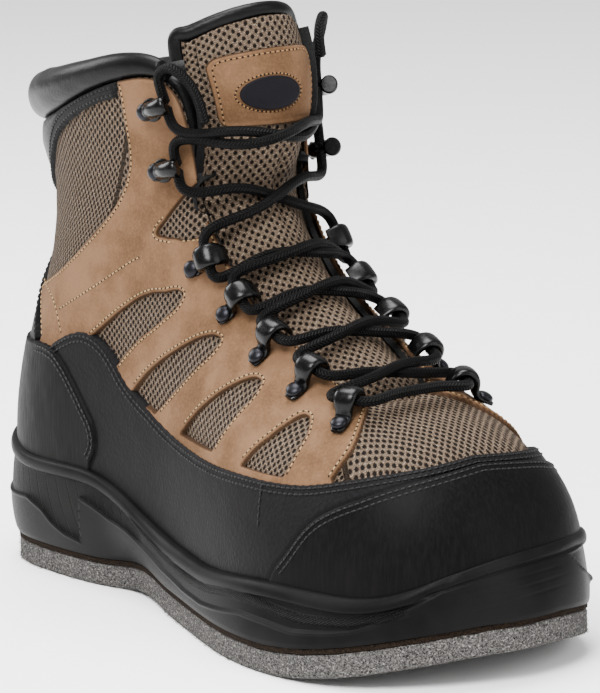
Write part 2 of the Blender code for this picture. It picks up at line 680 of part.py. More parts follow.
def tongue_row(left, right, bulge, ahead, lean=0.0, arch=0.0):
    """Eleven points of a tongue row: a lap on each side and an arc of seven between them."""
    f = np.linspace(0, 1, 7)[:, None]
    lap_l, lap_r = left[:-1], right[:-1]
    swell = 4 * f * (1 - f) * (1 + lean * (2 * f - 1))
    arc = left[-1] + (right[-1] - left[-1]) * f + ahead * bulge * swell
    arc[:, 2:] += arch * swell ** 0.8
    return np.concatenate([lap_l, arc, lap_r[::-1]])


def tongue_rows():
    """All rows of the tongue's outer face, from the vamp to its top."""
    rows = []
    under = -WALL - CLEAR
    table = np.array(TONGUE_BULGE)
    lap = np.array(LAP)
    spread = np.linspace(1, -1, 11)
    rows.append(upper(1.9 * spread, 1 - 0.09, under - 0.0010))
    rows.append(upper(2.3 * spread, 1 - 0.02, under - 0.0010))
    for station in (2.9, 3.6, 4.4, 5.2, 6.0, 6.8, 7.4, 7.9):
        width = np.interp(station, [6.8, 7.9], [1.0, 0.45])
        left = upper(station, 1 - lap * width, under)
        right = upper(-station, 1 - lap * width, under)
        low = upper(station - 0.4, 1.0)
        run = upper(station + 0.4, 1.0) - low
        ahead = np.array([run[2], 0.0, -run[0]]) / np.hypot(run[0], run[2])
        bulge = np.interp(station, table[:, 0], table[:, 1]) * BALL_WIDTH
        rows.append(tongue_row(left, right, bulge, ahead))
    forward = np.array([1.0, 0.0, 0.0])
    for edge, height, outer, inner, bulge, arch in TONGUE_TOP:
        x, z = (edge - HEEL_POINT) * LENGTH, height * SHAFT
        ends = [np.array([[x - d, s * (half * BALL_WIDTH + d * 0.6), z] for d in (0.0030, 0.0015, 0.0)])
                for s, half in ((-1, outer), (1, inner))]
        rows.append(tongue_row(*ends, bulge * BALL_WIDTH, forward, TONGUE_LEAN, arch * SHAFT))
    return np.array(rows)


tongue_grid = tongue_rows()
tongue_run = np.linalg.norm(np.diff(tongue_grid[:, 5], axis=0), axis=1)
tongue_at = np.concatenate([[0], np.cumsum(tongue_run)]) / tongue_run.sum()
read_tongue = spline(tongue_at, tongue_grid.reshape(len(tongue_grid), -1))


def tongue_face(v, q):
    """Point of the tongue's outer face: v from the vamp to the top, q from -1 to 1 across."""
    v, q = np.broadcast_arrays(np.asarray(v, float), np.asarray(q, float))
    flat = []
    for a, b in zip(v.reshape(-1), q.reshape(-1)):
        row = read_tongue(a).reshape(11, 3)
        flat.append(spline(np.linspace(-1, 1, 11), row)(b))
    return np.array(flat).reshape(v.shape + (3,))


def tongue(v, q, off=0.0):
    """Point of the tongue set off along its outward normal."""
    step = 2e-3
    v, q = np.broadcast_arrays(np.asarray(v, float), np.asarray(q, float))
    a = np.clip(v, step, 1 - step)
    b = np.clip(q, step - 1, 1 - step)
    normal = np.cross(tongue_face(a, b + step) - tongue_face(a, b - step),
                      tongue_face(a + step, b) - tongue_face(a - step, b))
    normal = normal / np.linalg.norm(normal, axis=-1, keepdims=True)
    return tongue_face(v, q) + normal * off


def past_edge(v, q, aside, above):
    """Middle of the tongue's thickness at a point of its edge, set past its side and top."""
    step = 0.02
    middle = -TONGUE_THICK / 2
    point = tongue(v, q, middle)
    across = point - tongue(v, q - np.copysign(step, q), middle)
    rise = point - tongue(v - step, q, middle)
    across = across / np.linalg.norm(across)
    rise = rise / np.linalg.norm(rise)
    slant = across @ rise
    way = (across - rise * slant) * aside + (rise - across * slant) * above
    return point + way / np.sqrt(1 - slant ** 2) * (BINDING + HUG)


def build_tongue():
    """The padded tongue, the binding on its upper edge, its patch and the blank badge."""
    v = np.sort(np.append(tongue_at, tongue_at[1:3].mean()))[:, None]
    q = np.sort(np.append(np.linspace(-1, 1, 11), (-0.9, 0.9)))[None, :]
    sheet("tongue", tongue(v, q), tongue(v, q, -TONGUE_THICK), fabric)
    edge = [(v, 1.0, 1.0, 0.0) for v in (0.95, 0.97, 0.987)] + [(1.0, 1.0, 1.3, 1.4)]
    crown = [(1.0, q, 0.0, 1.0) for q in (0.92, 0.8, 0.65, 0.5, 0.35, 0.2, 0.0)]
    half = edge + crown
    route = [past_edge(*row) for row in half]
    route += [past_edge(v, -q, aside, above) for v, q, aside, above in half[-2::-1]]
    rod("tongue_binding", route, BINDING, soft_black, 29, 7)
    v = np.linspace(*PATCH_RISE, 6)[:, None]
    q = np.linspace(*PATCH_SIDES, 11)[None, :]
    sheet("tongue_patch", tongue(v, q, FIT + LEATHER), tongue(v, q, FIT), leather)
    lift = FIT + LEATHER + FIT
    angle = np.linspace(0, 2 * np.pi, 17)[:-1]
    v = BADGE_RISE + BADGE_TALL * np.sin(angle)
    q = BADGE_SIDE + BADGE_HALF * np.cos(angle)
    low, high = tongue(v, q, lift), tongue(v, q, lift + 0.0014)
    crown = tongue(BADGE_RISE + 0.8 * (v - BADGE_RISE), BADGE_SIDE + 0.8 * (q - BADGE_SIDE),
                   lift + 0.0019)
    pipe("tongue_badge", np.array([low, high, crown]), soft_black)


def frames(route):
    """Two directions square to a route at each of its points, without sudden turns."""
    run = np.gradient(route, axis=0)
    run = run / np.linalg.norm(run, axis=1, keepdims=True)
    side = np.cross(run[0], [0.3, 0.2, 0.9])
    first, second = [], []
    for way in run:
        side = side - way * (side @ way)
        side = side / np.linalg.norm(side)
        first.append(side)
        second.append(np.cross(way, side))
    return np.array(first), np.array(second)


def smooth(route, count):
    """Points evenly along the smooth curve through a route."""
    route = np.array(route, float)
    at = np.concatenate([[0], np.cumsum(np.linalg.norm(np.diff(route, axis=0), axis=1))])
    return spline(at, route)(np.linspace(0, at[-1], count))


def rod(name, route, radius, made, count, sides=8):
    """A round bar along the smooth curve through a route."""
    line = smooth(route, count)
    first, second = frames(line)
    angle = np.linspace(0, 2 * np.pi, sides + 1)[:-1]
    loops = line[:, None] + radius * (np.cos(angle)[:, None] * first[:, None]
                                      + np.sin(angle)[:, None] * second[:, None])
    return pipe(name, loops, made)


# Lace hardware and lace

gun_black = finish("hardware_black", (0.02, 0.02, 0.02), 0.25, 0.8)
steel = finish("rivet_steel", (0.16, 0.16, 0.17), 0.3, 0.9)
braid = finish("lace_braid", (0.016, 0.015, 0.015), 0.75)
# Columns: name, distance from the rivet toward the throat, height above the leather, both as
# shares of the lace's diameter.
LOOP_STRAP = (
    ("tab", -1.20, 0.28), ("rivet", -0.40, 0.28), ("flat", 0.30, 0.28), ("heel", 0.85, 0.60),
    ("side", 1.12, 1.25), ("rise", 1.62, 1.85), ("crown", 2.40, 2.00), ("fall", 3.10, 1.55),
    ("foot", 3.35, 0.75), ("end", 3.38, 0.28),
)
HOOK_STRAP = (
    ("tab", -1.20, 0.28), ("rivet", -0.40, 0.28), ("flat", 0.30, 0.28), ("heel", 0.85, 0.60),
    ("side", 1.12, 1.25), ("rise", 1.65, 1.90), ("crown", 2.40, 2.10), ("fall", 3.10, 1.85),
    ("end", 3.50, 1.20),
)
STRAP_WIDE = 1.50       # width of a strap, as a share of the lace's diameter
STRAP_THICK = 0.42      # its thickness, likewise
RIVET = 0.74            # radius of a rivet, likewise
TUNNEL = 1.08           # height of the lace above the leather inside a loop, likewise


def stand(rivet, share, arch, arch_share, side):
    """Place of one loop or hook: its rivet, the way to the throat, out, and along."""
    lift = SEAT + LEATHER
    foot = upper(side * rivet, share, lift)
    over = upper(side * arch, arch_share, lift)
    way = over - foot
    out = upper(side * (rivet + arch) / 2, (share + arch_share) / 2, lift + 0.01) \
        - upper(side * (rivet + arch) / 2, (share + arch_share) / 2, lift)
    out = out / np.linalg.norm(out)
    way = way - out * (way @ out)
    way = way / np.linalg.norm(way)
    along = np.cross(out, way) * side
    return foot + out * GAP, way, out, along / np.linalg.norm(along)


def build_fitting(name, strap, place_row, side):
    """One loop or hook: a bent strap of rounded section and the rivet through its tab."""
    foot, way, out, along = stand(*place_row, side)
    path = np.array([[a, b] for _, a, b in strap]) * CORD
    line = smooth(np.column_stack([path, np.zeros(len(path))]), 9)[:, :2]
    run = np.gradient(line, axis=0)
    run = run / np.linalg.norm(run, axis=1, keepdims=True)
    half, thick = STRAP_WIDE * CORD / 2, STRAP_THICK * CORD / 2
    section = np.array([(1.0, 0.0), (0.75, 1.0), (-0.75, 1.0), (-1.0, 0.0), (-0.75, -1.0),
                        (0.75, -1.0)]) * (half, thick)
    centre = foot + line[:, :1] * way + line[:, 1:] * out
    square = -run[:, 1:] * way + run[:, :1] * out
    loops = centre[:, None] + section[None, :, :1] * along + section[None, :, 1:] * square[:, None]
    pipe(name, loops, gun_black)
    radius = RIVET * CORD
    base = foot + out * (0.28 * CORD + thick + 1.5 * GAP) - way * 0.48 * CORD
    angle = np.linspace(0, 2 * np.pi, 9)[:-1]
    circle = np.cos(angle)[:, None] * way + np.sin(angle)[:, None] * along
    rings = [base + circle * radius * wide + out * radius * high
             for wide, high in ((0.96, 0.0), (0.90, 0.34), (0.42, 0.60))]
    pipe(name + "_rivet", np.array(rings), steel)


def tunnel(place_row, side, reach):
    """Point on the lace's line through a fitting: toe end -1, heel end 1, just inside 0.05."""
    foot, way, out, along = stand(*place_row, side)
    reach = reach * (STRAP_WIDE / 2 + 1.05)
    return foot + (way * 2.25 + out * TUNNEL + along * reach) * CORD


def tongue_level(point):
    """The share v along the tongue whose middle lies nearest to a point."""
    v = np.linspace(0, 1, 101)
    return float(v[np.argmin(np.linalg.norm(tongue_face(v, 0.0) - point, axis=1))])


def strand(from_place, from_side, from_end, to_place, to_side, to_end, lift):
    """Route of a lace strand out of one fitting into another, bowed clear of the tongue."""
    low = tunnel(from_place, from_side, from_end)
    high = tunnel(to_place, to_side, to_end)
    v = tongue_level((low + high) / 2)
    out = tongue(v, 0.0, 0.01) - tongue(v, 0.0, 0.0)
    out = out / np.linalg.norm(out)
    bow = 0.0015
    for f in (0.25, 0.35, 0.5, 0.65, 0.75):
        spot = low + (high - low) * f
        v = tongue_level(spot)
        cover = FIT + LEATHER if v > PATCH_RISE[0] - 0.03 else 0.0
        faces = tongue(v, np.linspace(-0.8, 0.8, 17), CORD / 2 + CLEAR + cover)
        face = faces[np.argmin(np.linalg.norm(np.cross(faces - spot, out), axis=1))]
        bow = max(bow, float((face - spot) @ out) / (4 * f * (1 - f)))
    f = np.linspace(0, 1, 5)[:, None]
    arch = 4 * f * (1 - f)
    route = low + (high - low) * f + out * (bow * arch + lift * arch ** 2)
    start = tunnel(from_place, from_side, 0.05 * from_end)
    stop = tunnel(to_place, to_side, 0.05 * to_end)
    return np.vstack([start, route, stop])


def build_fittings():
    """Loops, hooks and rivets of both sides."""
    for label, side in (("outer", 1), ("inner", -1)):
        for row in LOOPS:
            build_fitting(row[0] + "_" + label, LOOP_STRAP, row[1:], side)
        for row in HOOKS:
            build_fitting(row[0] + "_" + label, HOOK_STRAP, row[1:], side)


def joined(first, second):
    """Join two crossing bars into one body."""
    join = first.modifiers.new("joined", "BOOLEAN")
    join.operation = "UNION"
    join.solver = "EXACT"
    join.object = second
    as_cutter(second)


def build_lace():
    """The straight bar at the lowest loops, the crossings above it and the two free ends."""
    places = [row[1:] for row in LOOPS + HOOKS]
    bar = strand(places[0], 1, -1, places[0], -1, -1, 0.0)
    rod("lace_bar", bar, CORD / 2, braid, 15, 6)
    for k in range(len(places) - 1):
        name = "lace_cross_" + str(k + 1)
        under = strand(places[k], -1, 1, places[k + 1], 1, -1, 0.0)
        over = strand(places[k], 1, 1, places[k + 1], -1, -1, 0.7 * CORD)
        first = rod(name, under, CORD / 2, braid, 15, 6)
        joined(first, rod(name + "_over", over, CORD / 2, braid, 15, 6))
    top = places[-1]
    start = tunnel(top, 1, 1)
    _, way, _, along = stand(*top, 1)
    cord("lace_end_outer", [
        tunnel(top, 1, 0.05), start, start + along * 0.004 + way * 0.001,
        start + along * 0.006 + way * 0.006, start + along * 0.002 + way * 0.012,
        start - along * 0.007 + way * 0.016, start - along * 0.020 + way * 0.016])
    start = tunnel(top, -1, 1)
    _, way, out, along = stand(*top, -1)
    cord("lace_end_inner", [
        tunnel(top, -1, 0.05), start, start + along * 0.008 + out * 0.001,
        start + along * 0.015 + out * 0.003, start + along * 0.020 + way * 0.005 + out * 0.003,
        start + along * 0.015 + way * 0.010, start + along * 0.002 + way * 0.010])


def cord(name, route):
    """A free end of the lace, a round tube along its route."""
    length = np.linalg.norm(np.diff(np.array(route), axis=0), axis=1).sum()
    points = smooth(route, int(np.ceil(length / (2 * CORD))) + 1)
    curve = bpy.data.curves.new(name, "CURVE")
    curve.dimensions = "3D"
    curve.bevel_depth = CORD / 2
    curve.bevel_resolution = 2
    curve.use_fill_caps = True
    line = curve.splines.new("POLY")
    line.points.add(len(points) - 1)
    for point, place_at in zip(line.points, points):
        point.co = (*place_at, 1.0)
    curve.materials.append(braid)
    thing = bpy.data.objects.new(name, curve)
    boot.objects.link(thing)


build_sole()
build_upper()
build_overlays()
build_quarters()
build_collar()
build_tongue()
build_fittings()
build_lace()
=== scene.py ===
"""Right-foot wading boot, dressed over its CAD frame.

The forms are surfaces of two parameters. A point of the upper is named by its station, counted
round the foot from the toe, and by its height share between the foot line and the top edge.
Lengths are metres unless a name says millimetres.
"""
from __future__ import annotations

import json
import logging
from dataclasses import dataclass, field
from enum import Enum
from typing import Callable, Optional, Sequence

import bpy
import numpy as np
from mathutils import Matrix
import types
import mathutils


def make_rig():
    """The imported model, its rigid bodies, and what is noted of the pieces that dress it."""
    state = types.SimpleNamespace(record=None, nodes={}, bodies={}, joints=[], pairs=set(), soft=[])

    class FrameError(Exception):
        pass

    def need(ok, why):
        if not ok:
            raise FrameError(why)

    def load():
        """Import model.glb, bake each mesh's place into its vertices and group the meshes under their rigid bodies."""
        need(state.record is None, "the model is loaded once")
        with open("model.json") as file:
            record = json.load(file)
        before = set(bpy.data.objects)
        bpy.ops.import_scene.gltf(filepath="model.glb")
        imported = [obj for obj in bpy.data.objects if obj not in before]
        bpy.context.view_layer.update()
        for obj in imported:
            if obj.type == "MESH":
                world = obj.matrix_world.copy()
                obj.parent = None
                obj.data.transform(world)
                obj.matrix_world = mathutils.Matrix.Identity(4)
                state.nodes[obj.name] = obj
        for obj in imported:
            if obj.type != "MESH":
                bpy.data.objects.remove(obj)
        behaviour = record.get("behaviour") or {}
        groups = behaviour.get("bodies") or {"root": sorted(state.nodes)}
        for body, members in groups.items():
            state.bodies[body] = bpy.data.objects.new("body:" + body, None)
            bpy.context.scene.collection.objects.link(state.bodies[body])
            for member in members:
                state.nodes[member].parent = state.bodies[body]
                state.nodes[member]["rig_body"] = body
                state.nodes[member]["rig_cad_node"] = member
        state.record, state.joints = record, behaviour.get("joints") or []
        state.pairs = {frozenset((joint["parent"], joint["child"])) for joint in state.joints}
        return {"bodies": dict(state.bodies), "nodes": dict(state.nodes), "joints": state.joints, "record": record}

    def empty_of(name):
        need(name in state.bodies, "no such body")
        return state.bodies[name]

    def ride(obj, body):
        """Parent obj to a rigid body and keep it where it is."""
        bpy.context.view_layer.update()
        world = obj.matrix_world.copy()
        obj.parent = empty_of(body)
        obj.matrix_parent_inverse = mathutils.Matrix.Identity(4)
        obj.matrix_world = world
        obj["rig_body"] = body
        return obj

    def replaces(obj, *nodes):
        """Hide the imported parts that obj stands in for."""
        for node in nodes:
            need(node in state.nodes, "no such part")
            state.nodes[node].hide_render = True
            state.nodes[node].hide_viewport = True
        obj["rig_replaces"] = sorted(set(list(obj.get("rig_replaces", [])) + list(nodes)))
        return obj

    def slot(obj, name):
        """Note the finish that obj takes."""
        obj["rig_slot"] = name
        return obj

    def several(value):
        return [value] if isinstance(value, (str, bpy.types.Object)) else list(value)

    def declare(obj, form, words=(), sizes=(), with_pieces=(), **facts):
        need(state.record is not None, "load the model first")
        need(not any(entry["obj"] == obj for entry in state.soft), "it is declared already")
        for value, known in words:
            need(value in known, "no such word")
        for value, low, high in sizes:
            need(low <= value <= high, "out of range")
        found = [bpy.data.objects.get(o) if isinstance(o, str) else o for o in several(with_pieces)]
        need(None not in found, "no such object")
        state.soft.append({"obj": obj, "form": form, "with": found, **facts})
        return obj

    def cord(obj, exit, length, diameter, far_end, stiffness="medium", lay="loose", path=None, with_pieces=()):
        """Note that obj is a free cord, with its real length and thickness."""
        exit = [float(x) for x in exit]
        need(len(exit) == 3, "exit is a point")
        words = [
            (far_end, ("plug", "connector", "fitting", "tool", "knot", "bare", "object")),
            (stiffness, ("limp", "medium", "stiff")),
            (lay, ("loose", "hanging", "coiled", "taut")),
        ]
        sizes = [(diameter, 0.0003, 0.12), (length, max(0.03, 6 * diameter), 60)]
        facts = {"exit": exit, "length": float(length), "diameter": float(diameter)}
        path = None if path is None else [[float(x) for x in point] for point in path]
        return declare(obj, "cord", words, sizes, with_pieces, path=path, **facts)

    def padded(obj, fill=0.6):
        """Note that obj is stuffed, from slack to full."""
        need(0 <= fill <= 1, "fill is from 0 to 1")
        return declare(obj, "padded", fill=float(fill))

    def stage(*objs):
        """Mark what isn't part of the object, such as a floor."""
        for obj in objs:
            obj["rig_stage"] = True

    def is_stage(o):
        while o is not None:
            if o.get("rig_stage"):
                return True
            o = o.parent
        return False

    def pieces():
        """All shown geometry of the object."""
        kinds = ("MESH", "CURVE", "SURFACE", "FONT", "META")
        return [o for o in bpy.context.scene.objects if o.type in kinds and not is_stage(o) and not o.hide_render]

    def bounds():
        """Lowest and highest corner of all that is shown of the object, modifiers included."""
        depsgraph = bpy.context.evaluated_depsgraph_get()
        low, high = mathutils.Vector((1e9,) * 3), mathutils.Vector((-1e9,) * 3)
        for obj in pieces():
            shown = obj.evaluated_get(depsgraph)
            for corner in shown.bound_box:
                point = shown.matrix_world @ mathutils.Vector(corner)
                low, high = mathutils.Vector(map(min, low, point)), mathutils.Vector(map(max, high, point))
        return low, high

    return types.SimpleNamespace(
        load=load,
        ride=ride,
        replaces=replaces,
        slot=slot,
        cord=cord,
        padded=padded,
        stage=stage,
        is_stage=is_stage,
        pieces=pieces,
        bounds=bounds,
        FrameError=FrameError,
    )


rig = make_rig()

log = logging.getLogger("wading_boot")
Array = np.ndarray
Rows = Sequence[Sequence[float]]
MM = 0.001
UP = np.array([0.0, 0.0, 1.0])
CELL = np.array([0.032, 0.165])     # metres to a station and to a height share, about
Socket = bpy.types.NodeSocket
Thing = bpy.types.Object
Material = bpy.types.Material

# Columns: foot line from the heel, outer and inner half width, swell and rise of the rib above
# the foot line, swell and drop of the rib below the top edge, top edge from the heel, its half
# width and height. Lengths are shares of the length, widths of the ball, heights of the shaft.
UPPER_STATIONS: Rows = (
    (0.978, 0.000, 0.000, 0.031, 0.194, 0.328, 0.028, 0.769, 0.000, 0.454),
    (0.966, 0.180, 0.222, 0.031, 0.185, 0.305, 0.032, 0.766, 0.070, 0.456),
    (0.916, 0.334, 0.372, 0.031, 0.181, 0.236, 0.037, 0.750, 0.125, 0.465),
    (0.828, 0.422, 0.438, 0.039, 0.176, 0.190, 0.046, 0.722, 0.156, 0.481),
    (0.738, 0.461, 0.453, 0.039, 0.185, 0.195, 0.065, 0.678, 0.164, 0.514),
    (0.634, 0.430, 0.414, 0.047, 0.194, 0.178, 0.088, 0.613, 0.172, 0.560),
    (0.531, 0.367, 0.336, 0.055, 0.208, 0.141, 0.111, 0.544, 0.180, 0.616),
    (0.431, 0.320, 0.273, 0.062, 0.231, 0.102, 0.139, 0.491, 0.182, 0.694),
    (0.338, 0.312, 0.266, 0.062, 0.269, 0.062, 0.167, 0.455, 0.196, 0.790),
    (0.244, 0.320, 0.297, 0.062, 0.287, -0.016, 0.231, 0.428, 0.236, 0.975),
    (0.144, 0.320, 0.312, 0.062, 0.296, -0.055, 0.269, 0.331, 0.312, 0.978),
    (0.062, 0.258, 0.258, 0.062, 0.301, -0.080, 0.287, 0.197, 0.304, 0.905),
    (0.012, 0.150, 0.148, 0.070, 0.306, -0.124, 0.287, 0.098, 0.196, 0.862),
    (-0.008, 0.000, 0.000, 0.066, 0.306, -0.150, 0.287, 0.052, 0.000, 0.845),
)
# Columns: sole edge from the heel, outer and inner half width, height of the rim on the outer
# and the inner side, flare of the cup.
SOLE_STATIONS: Rows = (
    (1.006, 0.000, 0.000, 0.227, 0.227, 0.012), (0.981, 0.219, 0.258, 0.206, 0.232, 0.012),
    (0.925, 0.406, 0.406, 0.168, 0.222, 0.008), (0.844, 0.512, 0.492, 0.162, 0.190, 0.006),
    (0.744, 0.535, 0.508, 0.162, 0.171, 0.006), (0.641, 0.500, 0.437, 0.146, 0.157, 0.010),
    (0.531, 0.422, 0.352, 0.144, 0.153, 0.014), (0.437, 0.350, 0.301, 0.162, 0.171, 0.022),
    (0.337, 0.285, 0.281, 0.208, 0.210, 0.026), (0.250, 0.312, 0.305, 0.234, 0.234, 0.022),
    (0.141, 0.332, 0.320, 0.231, 0.231, 0.018), (0.056, 0.297, 0.273, 0.240, 0.240, 0.018),
    (0.012, 0.188, 0.164, 0.252, 0.252, 0.018), (-0.006, 0.000, 0.000, 0.259, 0.259, 0.018),
)
# Columns: station, height of the raised ridge on the side of the cup (shaft).
RIDGE: Rows = (
    (0.0, 0.250), (0.8, 0.225), (1.05, 0.192), (1.23, 0.172), (1.41, 0.161), (1.66, 0.146),
    (1.96, 0.124), (2.26, 0.109), (2.61, 0.100), (3.2, 0.092), (3.7, 0.097), (4.2, 0.099),
    (4.8, 0.087), (5.3, 0.080), (5.9, 0.082), (6.7, 0.096), (7.3, 0.118), (7.8, 0.136),
    (8.3, 0.149), (8.7, 0.166), (9.0, 0.176), (9.14, 0.083), (9.44, 0.092), (9.66, 0.108),
    (9.85, 0.130), (10.2, 0.146), (10.9, 0.138), (13.0, 0.150),
)
# Columns: station, height of the middle of the textured stripe under the rim (shaft).
STRIPE: Rows = (
    (1.5, 0.148), (1.65, 0.141), (2.0, 0.131), (2.3, 0.121), (3.0, 0.115), (3.5, 0.120),
    (4.0, 0.127), (4.5, 0.124), (5.2, 0.110), (5.8, 0.107), (6.2, 0.111), (6.7, 0.122),
    (7.3, 0.147), (7.7, 0.168),
)
# Panel edges: rows of station and height share on the outer side.
TOE_CAP_EDGE: Rows = (
    (3.72, 0.130), (3.60, 0.175), (3.41, 0.220), (3.00, 0.320), (2.05, 0.420), (1.09, 0.482),
    (0.00, 0.512),
)
RAND_TOP: Rows = (
    (0.00, 0.560), (1.32, 0.532), (2.39, 0.495), (4.33, 0.440), (5.84, 0.388), (6.91, 0.357),
    (8.18, 0.352), (9.23, 0.393), (9.54, 0.403), (9.89, 0.393), (10.19, 0.367),
)
COUNTER_EDGE: Rows = (
    (8.76, 0.130), (8.67, 0.173), (8.72, 0.195), (9.02, 0.240), (9.55, 0.305), (10.19, 0.367),
    (10.57, 0.378),
)
STRIP_EDGE: Rows = ((10.75, 0.390), (11.20, 0.470), (11.60, 0.550), (12.10, 0.650), (12.30, 0.780))
QUARTER_BACK: Rows = (
    (10.57, 0.392), (10.95, 0.470), (11.30, 0.540), (10.80, 0.560), (10.01, 0.635), (9.71, 0.700),
    (9.63, 0.780), (9.77, 0.880), (9.88, 0.992),
)
QUARTER_FRONT: Rows = ((2.42, 0.512), (2.05, 0.623), (1.63, 0.833), (1.40, 0.985))
BAND_LOW: Rows = ((9.94, 0.965), (10.29, 0.968), (11.04, 0.950), (11.77, 0.860), (12.40, 0.800),
                  (13.0, 0.780))
# Slots in the quarter: rear edge at its foot, middle and tip, front edge at its foot and tip.
SLOTS: Sequence[Rows] = (
    ((9.32, 0.403), (8.58, 0.525), (7.60, 0.735), (8.56, 0.380), (7.46, 0.690)),
    ((7.91, 0.380), (7.27, 0.575), (6.10, 0.795), (7.14, 0.400), (5.92, 0.750)),
    ((6.23, 0.443), (5.47, 0.652), (4.72, 0.800), (5.24, 0.475), (4.55, 0.735)),
    ((4.38, 0.495), (3.98, 0.630), (3.30, 0.780), (3.48, 0.512), (3.05, 0.710)),
)
NOTCH: Rows = ((8.88, 0.612), (8.04, 1.020), (7.52, 1.020), (7.56, 0.930))
# Fittings: rivet station and height share, station and share under the middle of the arch.
LOOPS: Rows = (
    (2.15, 0.763, 1.95, 0.870), (3.74, 0.838, 3.63, 0.943), (4.90, 0.863, 4.85, 0.963),
    (6.03, 0.885, 5.85, 0.990), (7.34, 0.845, 6.89, 0.963),
)
HOOKS: Rows = ((8.90, 0.812, 8.42, 0.940), (9.29, 0.930, 8.90, 0.990))
# Upper end of the tongue: edge from the heel, height, outer and inner half width, bulge of its
# middle, arch of the row.
TONGUE_TOP: Rows = (
    (0.463, 0.840, 0.165, 0.170, 0.106, 0.000), (0.466, 0.904, 0.172, 0.194, 0.110, 0.002),
    (0.465, 0.966, 0.196, 0.212, 0.112, 0.010), (0.461, 1.024, 0.222, 0.206, 0.110, 0.026),
    (0.457, 1.068, 0.226, 0.190, 0.104, 0.042),
)
TONGUE_BULGE: Rows = ((1.0, 0.020), (2.6, 0.050), (4.0, 0.060), (5.0, 0.075), (6.2, 0.100), (7.8, 0.112))
COLLAR: Rows = (
    (9.15, 0.014, 0.016, 0.000), (9.26, 0.028, 0.029, 0.000), (9.60, 0.036, 0.036, 0.000),
    (10.3, 0.048, 0.050, 0.004), (11.2, 0.064, 0.072, 0.006), (12.2, 0.070, 0.076, 0.006),
    (13.0, 0.072, 0.076, 0.006),
)


class Side(Enum):
    """Side of the foot: the outer has positive stations, the inner negative ones."""

    OUTER = 1
    INNER = -1


def spline(knots: Array, rows: Array) -> Callable[[Array], Array]:
    """Natural cubic curve through rows at knots.

    Args:
        knots: rising parameter of each row.
        rows: one row of values per knot.

    Returns:
        A function that reads the curve at any parameters.
    """
    k = np.array(knots, float)
    v = np.array(rows, float).reshape(len(k), -1)
    h = np.diff(k)[:, None]
    slope = np.diff(v, axis=0) / h
    count = len(k)
    system, right = np.eye(count), np.zeros_like(v)
    for i in range(1, count - 1):
        system[i, i - 1:i + 2] = h[i - 1, 0], 2 * (h[i - 1, 0] + h[i, 0]), h[i, 0]
        right[i] = 6 * (slope[i] - slope[i - 1])
    bend = np.linalg.solve(system, right)

    def read(at: Array) -> Array:
        """Cubic between two knots from their values and second slopes.

        Args:
            at: parameters.

        Returns:
            The curve there.
        """
        at = np.asarray(at, float)
        i = np.clip(np.searchsorted(k, at) - 1, 0, count - 2)
        w, d, e = h[i], (at - k[i])[..., None], (k[i + 1] - at)[..., None]
        curve = (bend[i] * e ** 3 + bend[i + 1] * d ** 3) / (6 * w)
        return curve + (v[i] / w - bend[i] * w / 6) * e + (v[i + 1] / w - bend[i + 1] * w / 6) * d
    return read


def circle(count: int) -> Array:
    """Angles evenly round a full turn."""
    return np.linspace(0, 2 * np.pi, count, endpoint=False)


def read_off(at: Array, knots: Array, rows: Array) -> Array:
    """Rows read at places between knots, straight from one to the next."""
    return np.column_stack([np.interp(at, knots, column) for column in rows.T])


def rise(low: float, high: float, at: Array) -> Array:
    """Smooth step: 0 below low, 1 above high, 3s² - 2s³ between."""
    s = np.clip((at - low) / (high - low), 0, 1)
    return s * s * (3 - 2 * s)


def unit(v: Array) -> Array:
    """Vectors divided by their lengths."""
    return v / np.maximum(np.linalg.norm(v, axis=-1, keepdims=True), 1e-12)


def smooth(route: Array, count: int) -> Array:
    """Points evenly along the cubic curve through a route, by chord length.

    Args:
        route: points to pass.
        count: points to give.

    Returns:
        The points.
    """
    route = np.array(route, float)
    at = np.concatenate([[0], np.cumsum(np.linalg.norm(np.diff(route, axis=0), axis=1))])
    return spline(at, route)(np.linspace(0, at[-1], count))


def ripple(a: Array, b: Array, seed: int, size: float) -> Array:
    """Soft uneven field from -1 to 1: a sum of twelve sines in fixed random directions.

    Args:
        a: first coordinate.
        b: second coordinate, in the same unit.
        seed: picks the directions and phases.
        size: wavelength of the coarsest sine.

    Returns:
        The field at each point.
    """
    pick = np.random.default_rng(seed)
    total = np.zeros(np.broadcast(a, b).shape)
    for k in range(12):
        turn, phase = pick.uniform(0, 2 * np.pi, 2)
        wave = 2 * np.pi / size * (1 + 0.35 * k)
        total += np.sin(wave * (a * np.cos(turn) + b * np.sin(turn)) + phase) / (1 + 0.2 * k)
    return total / 4.5


def uneven(points: Array) -> Array:
    """Height of the soft waviness of a sewn panel, in metres."""
    return 0.10 * MM * ripple(points[..., 0] + points[..., 1], points[..., 2], 5, 0.03)


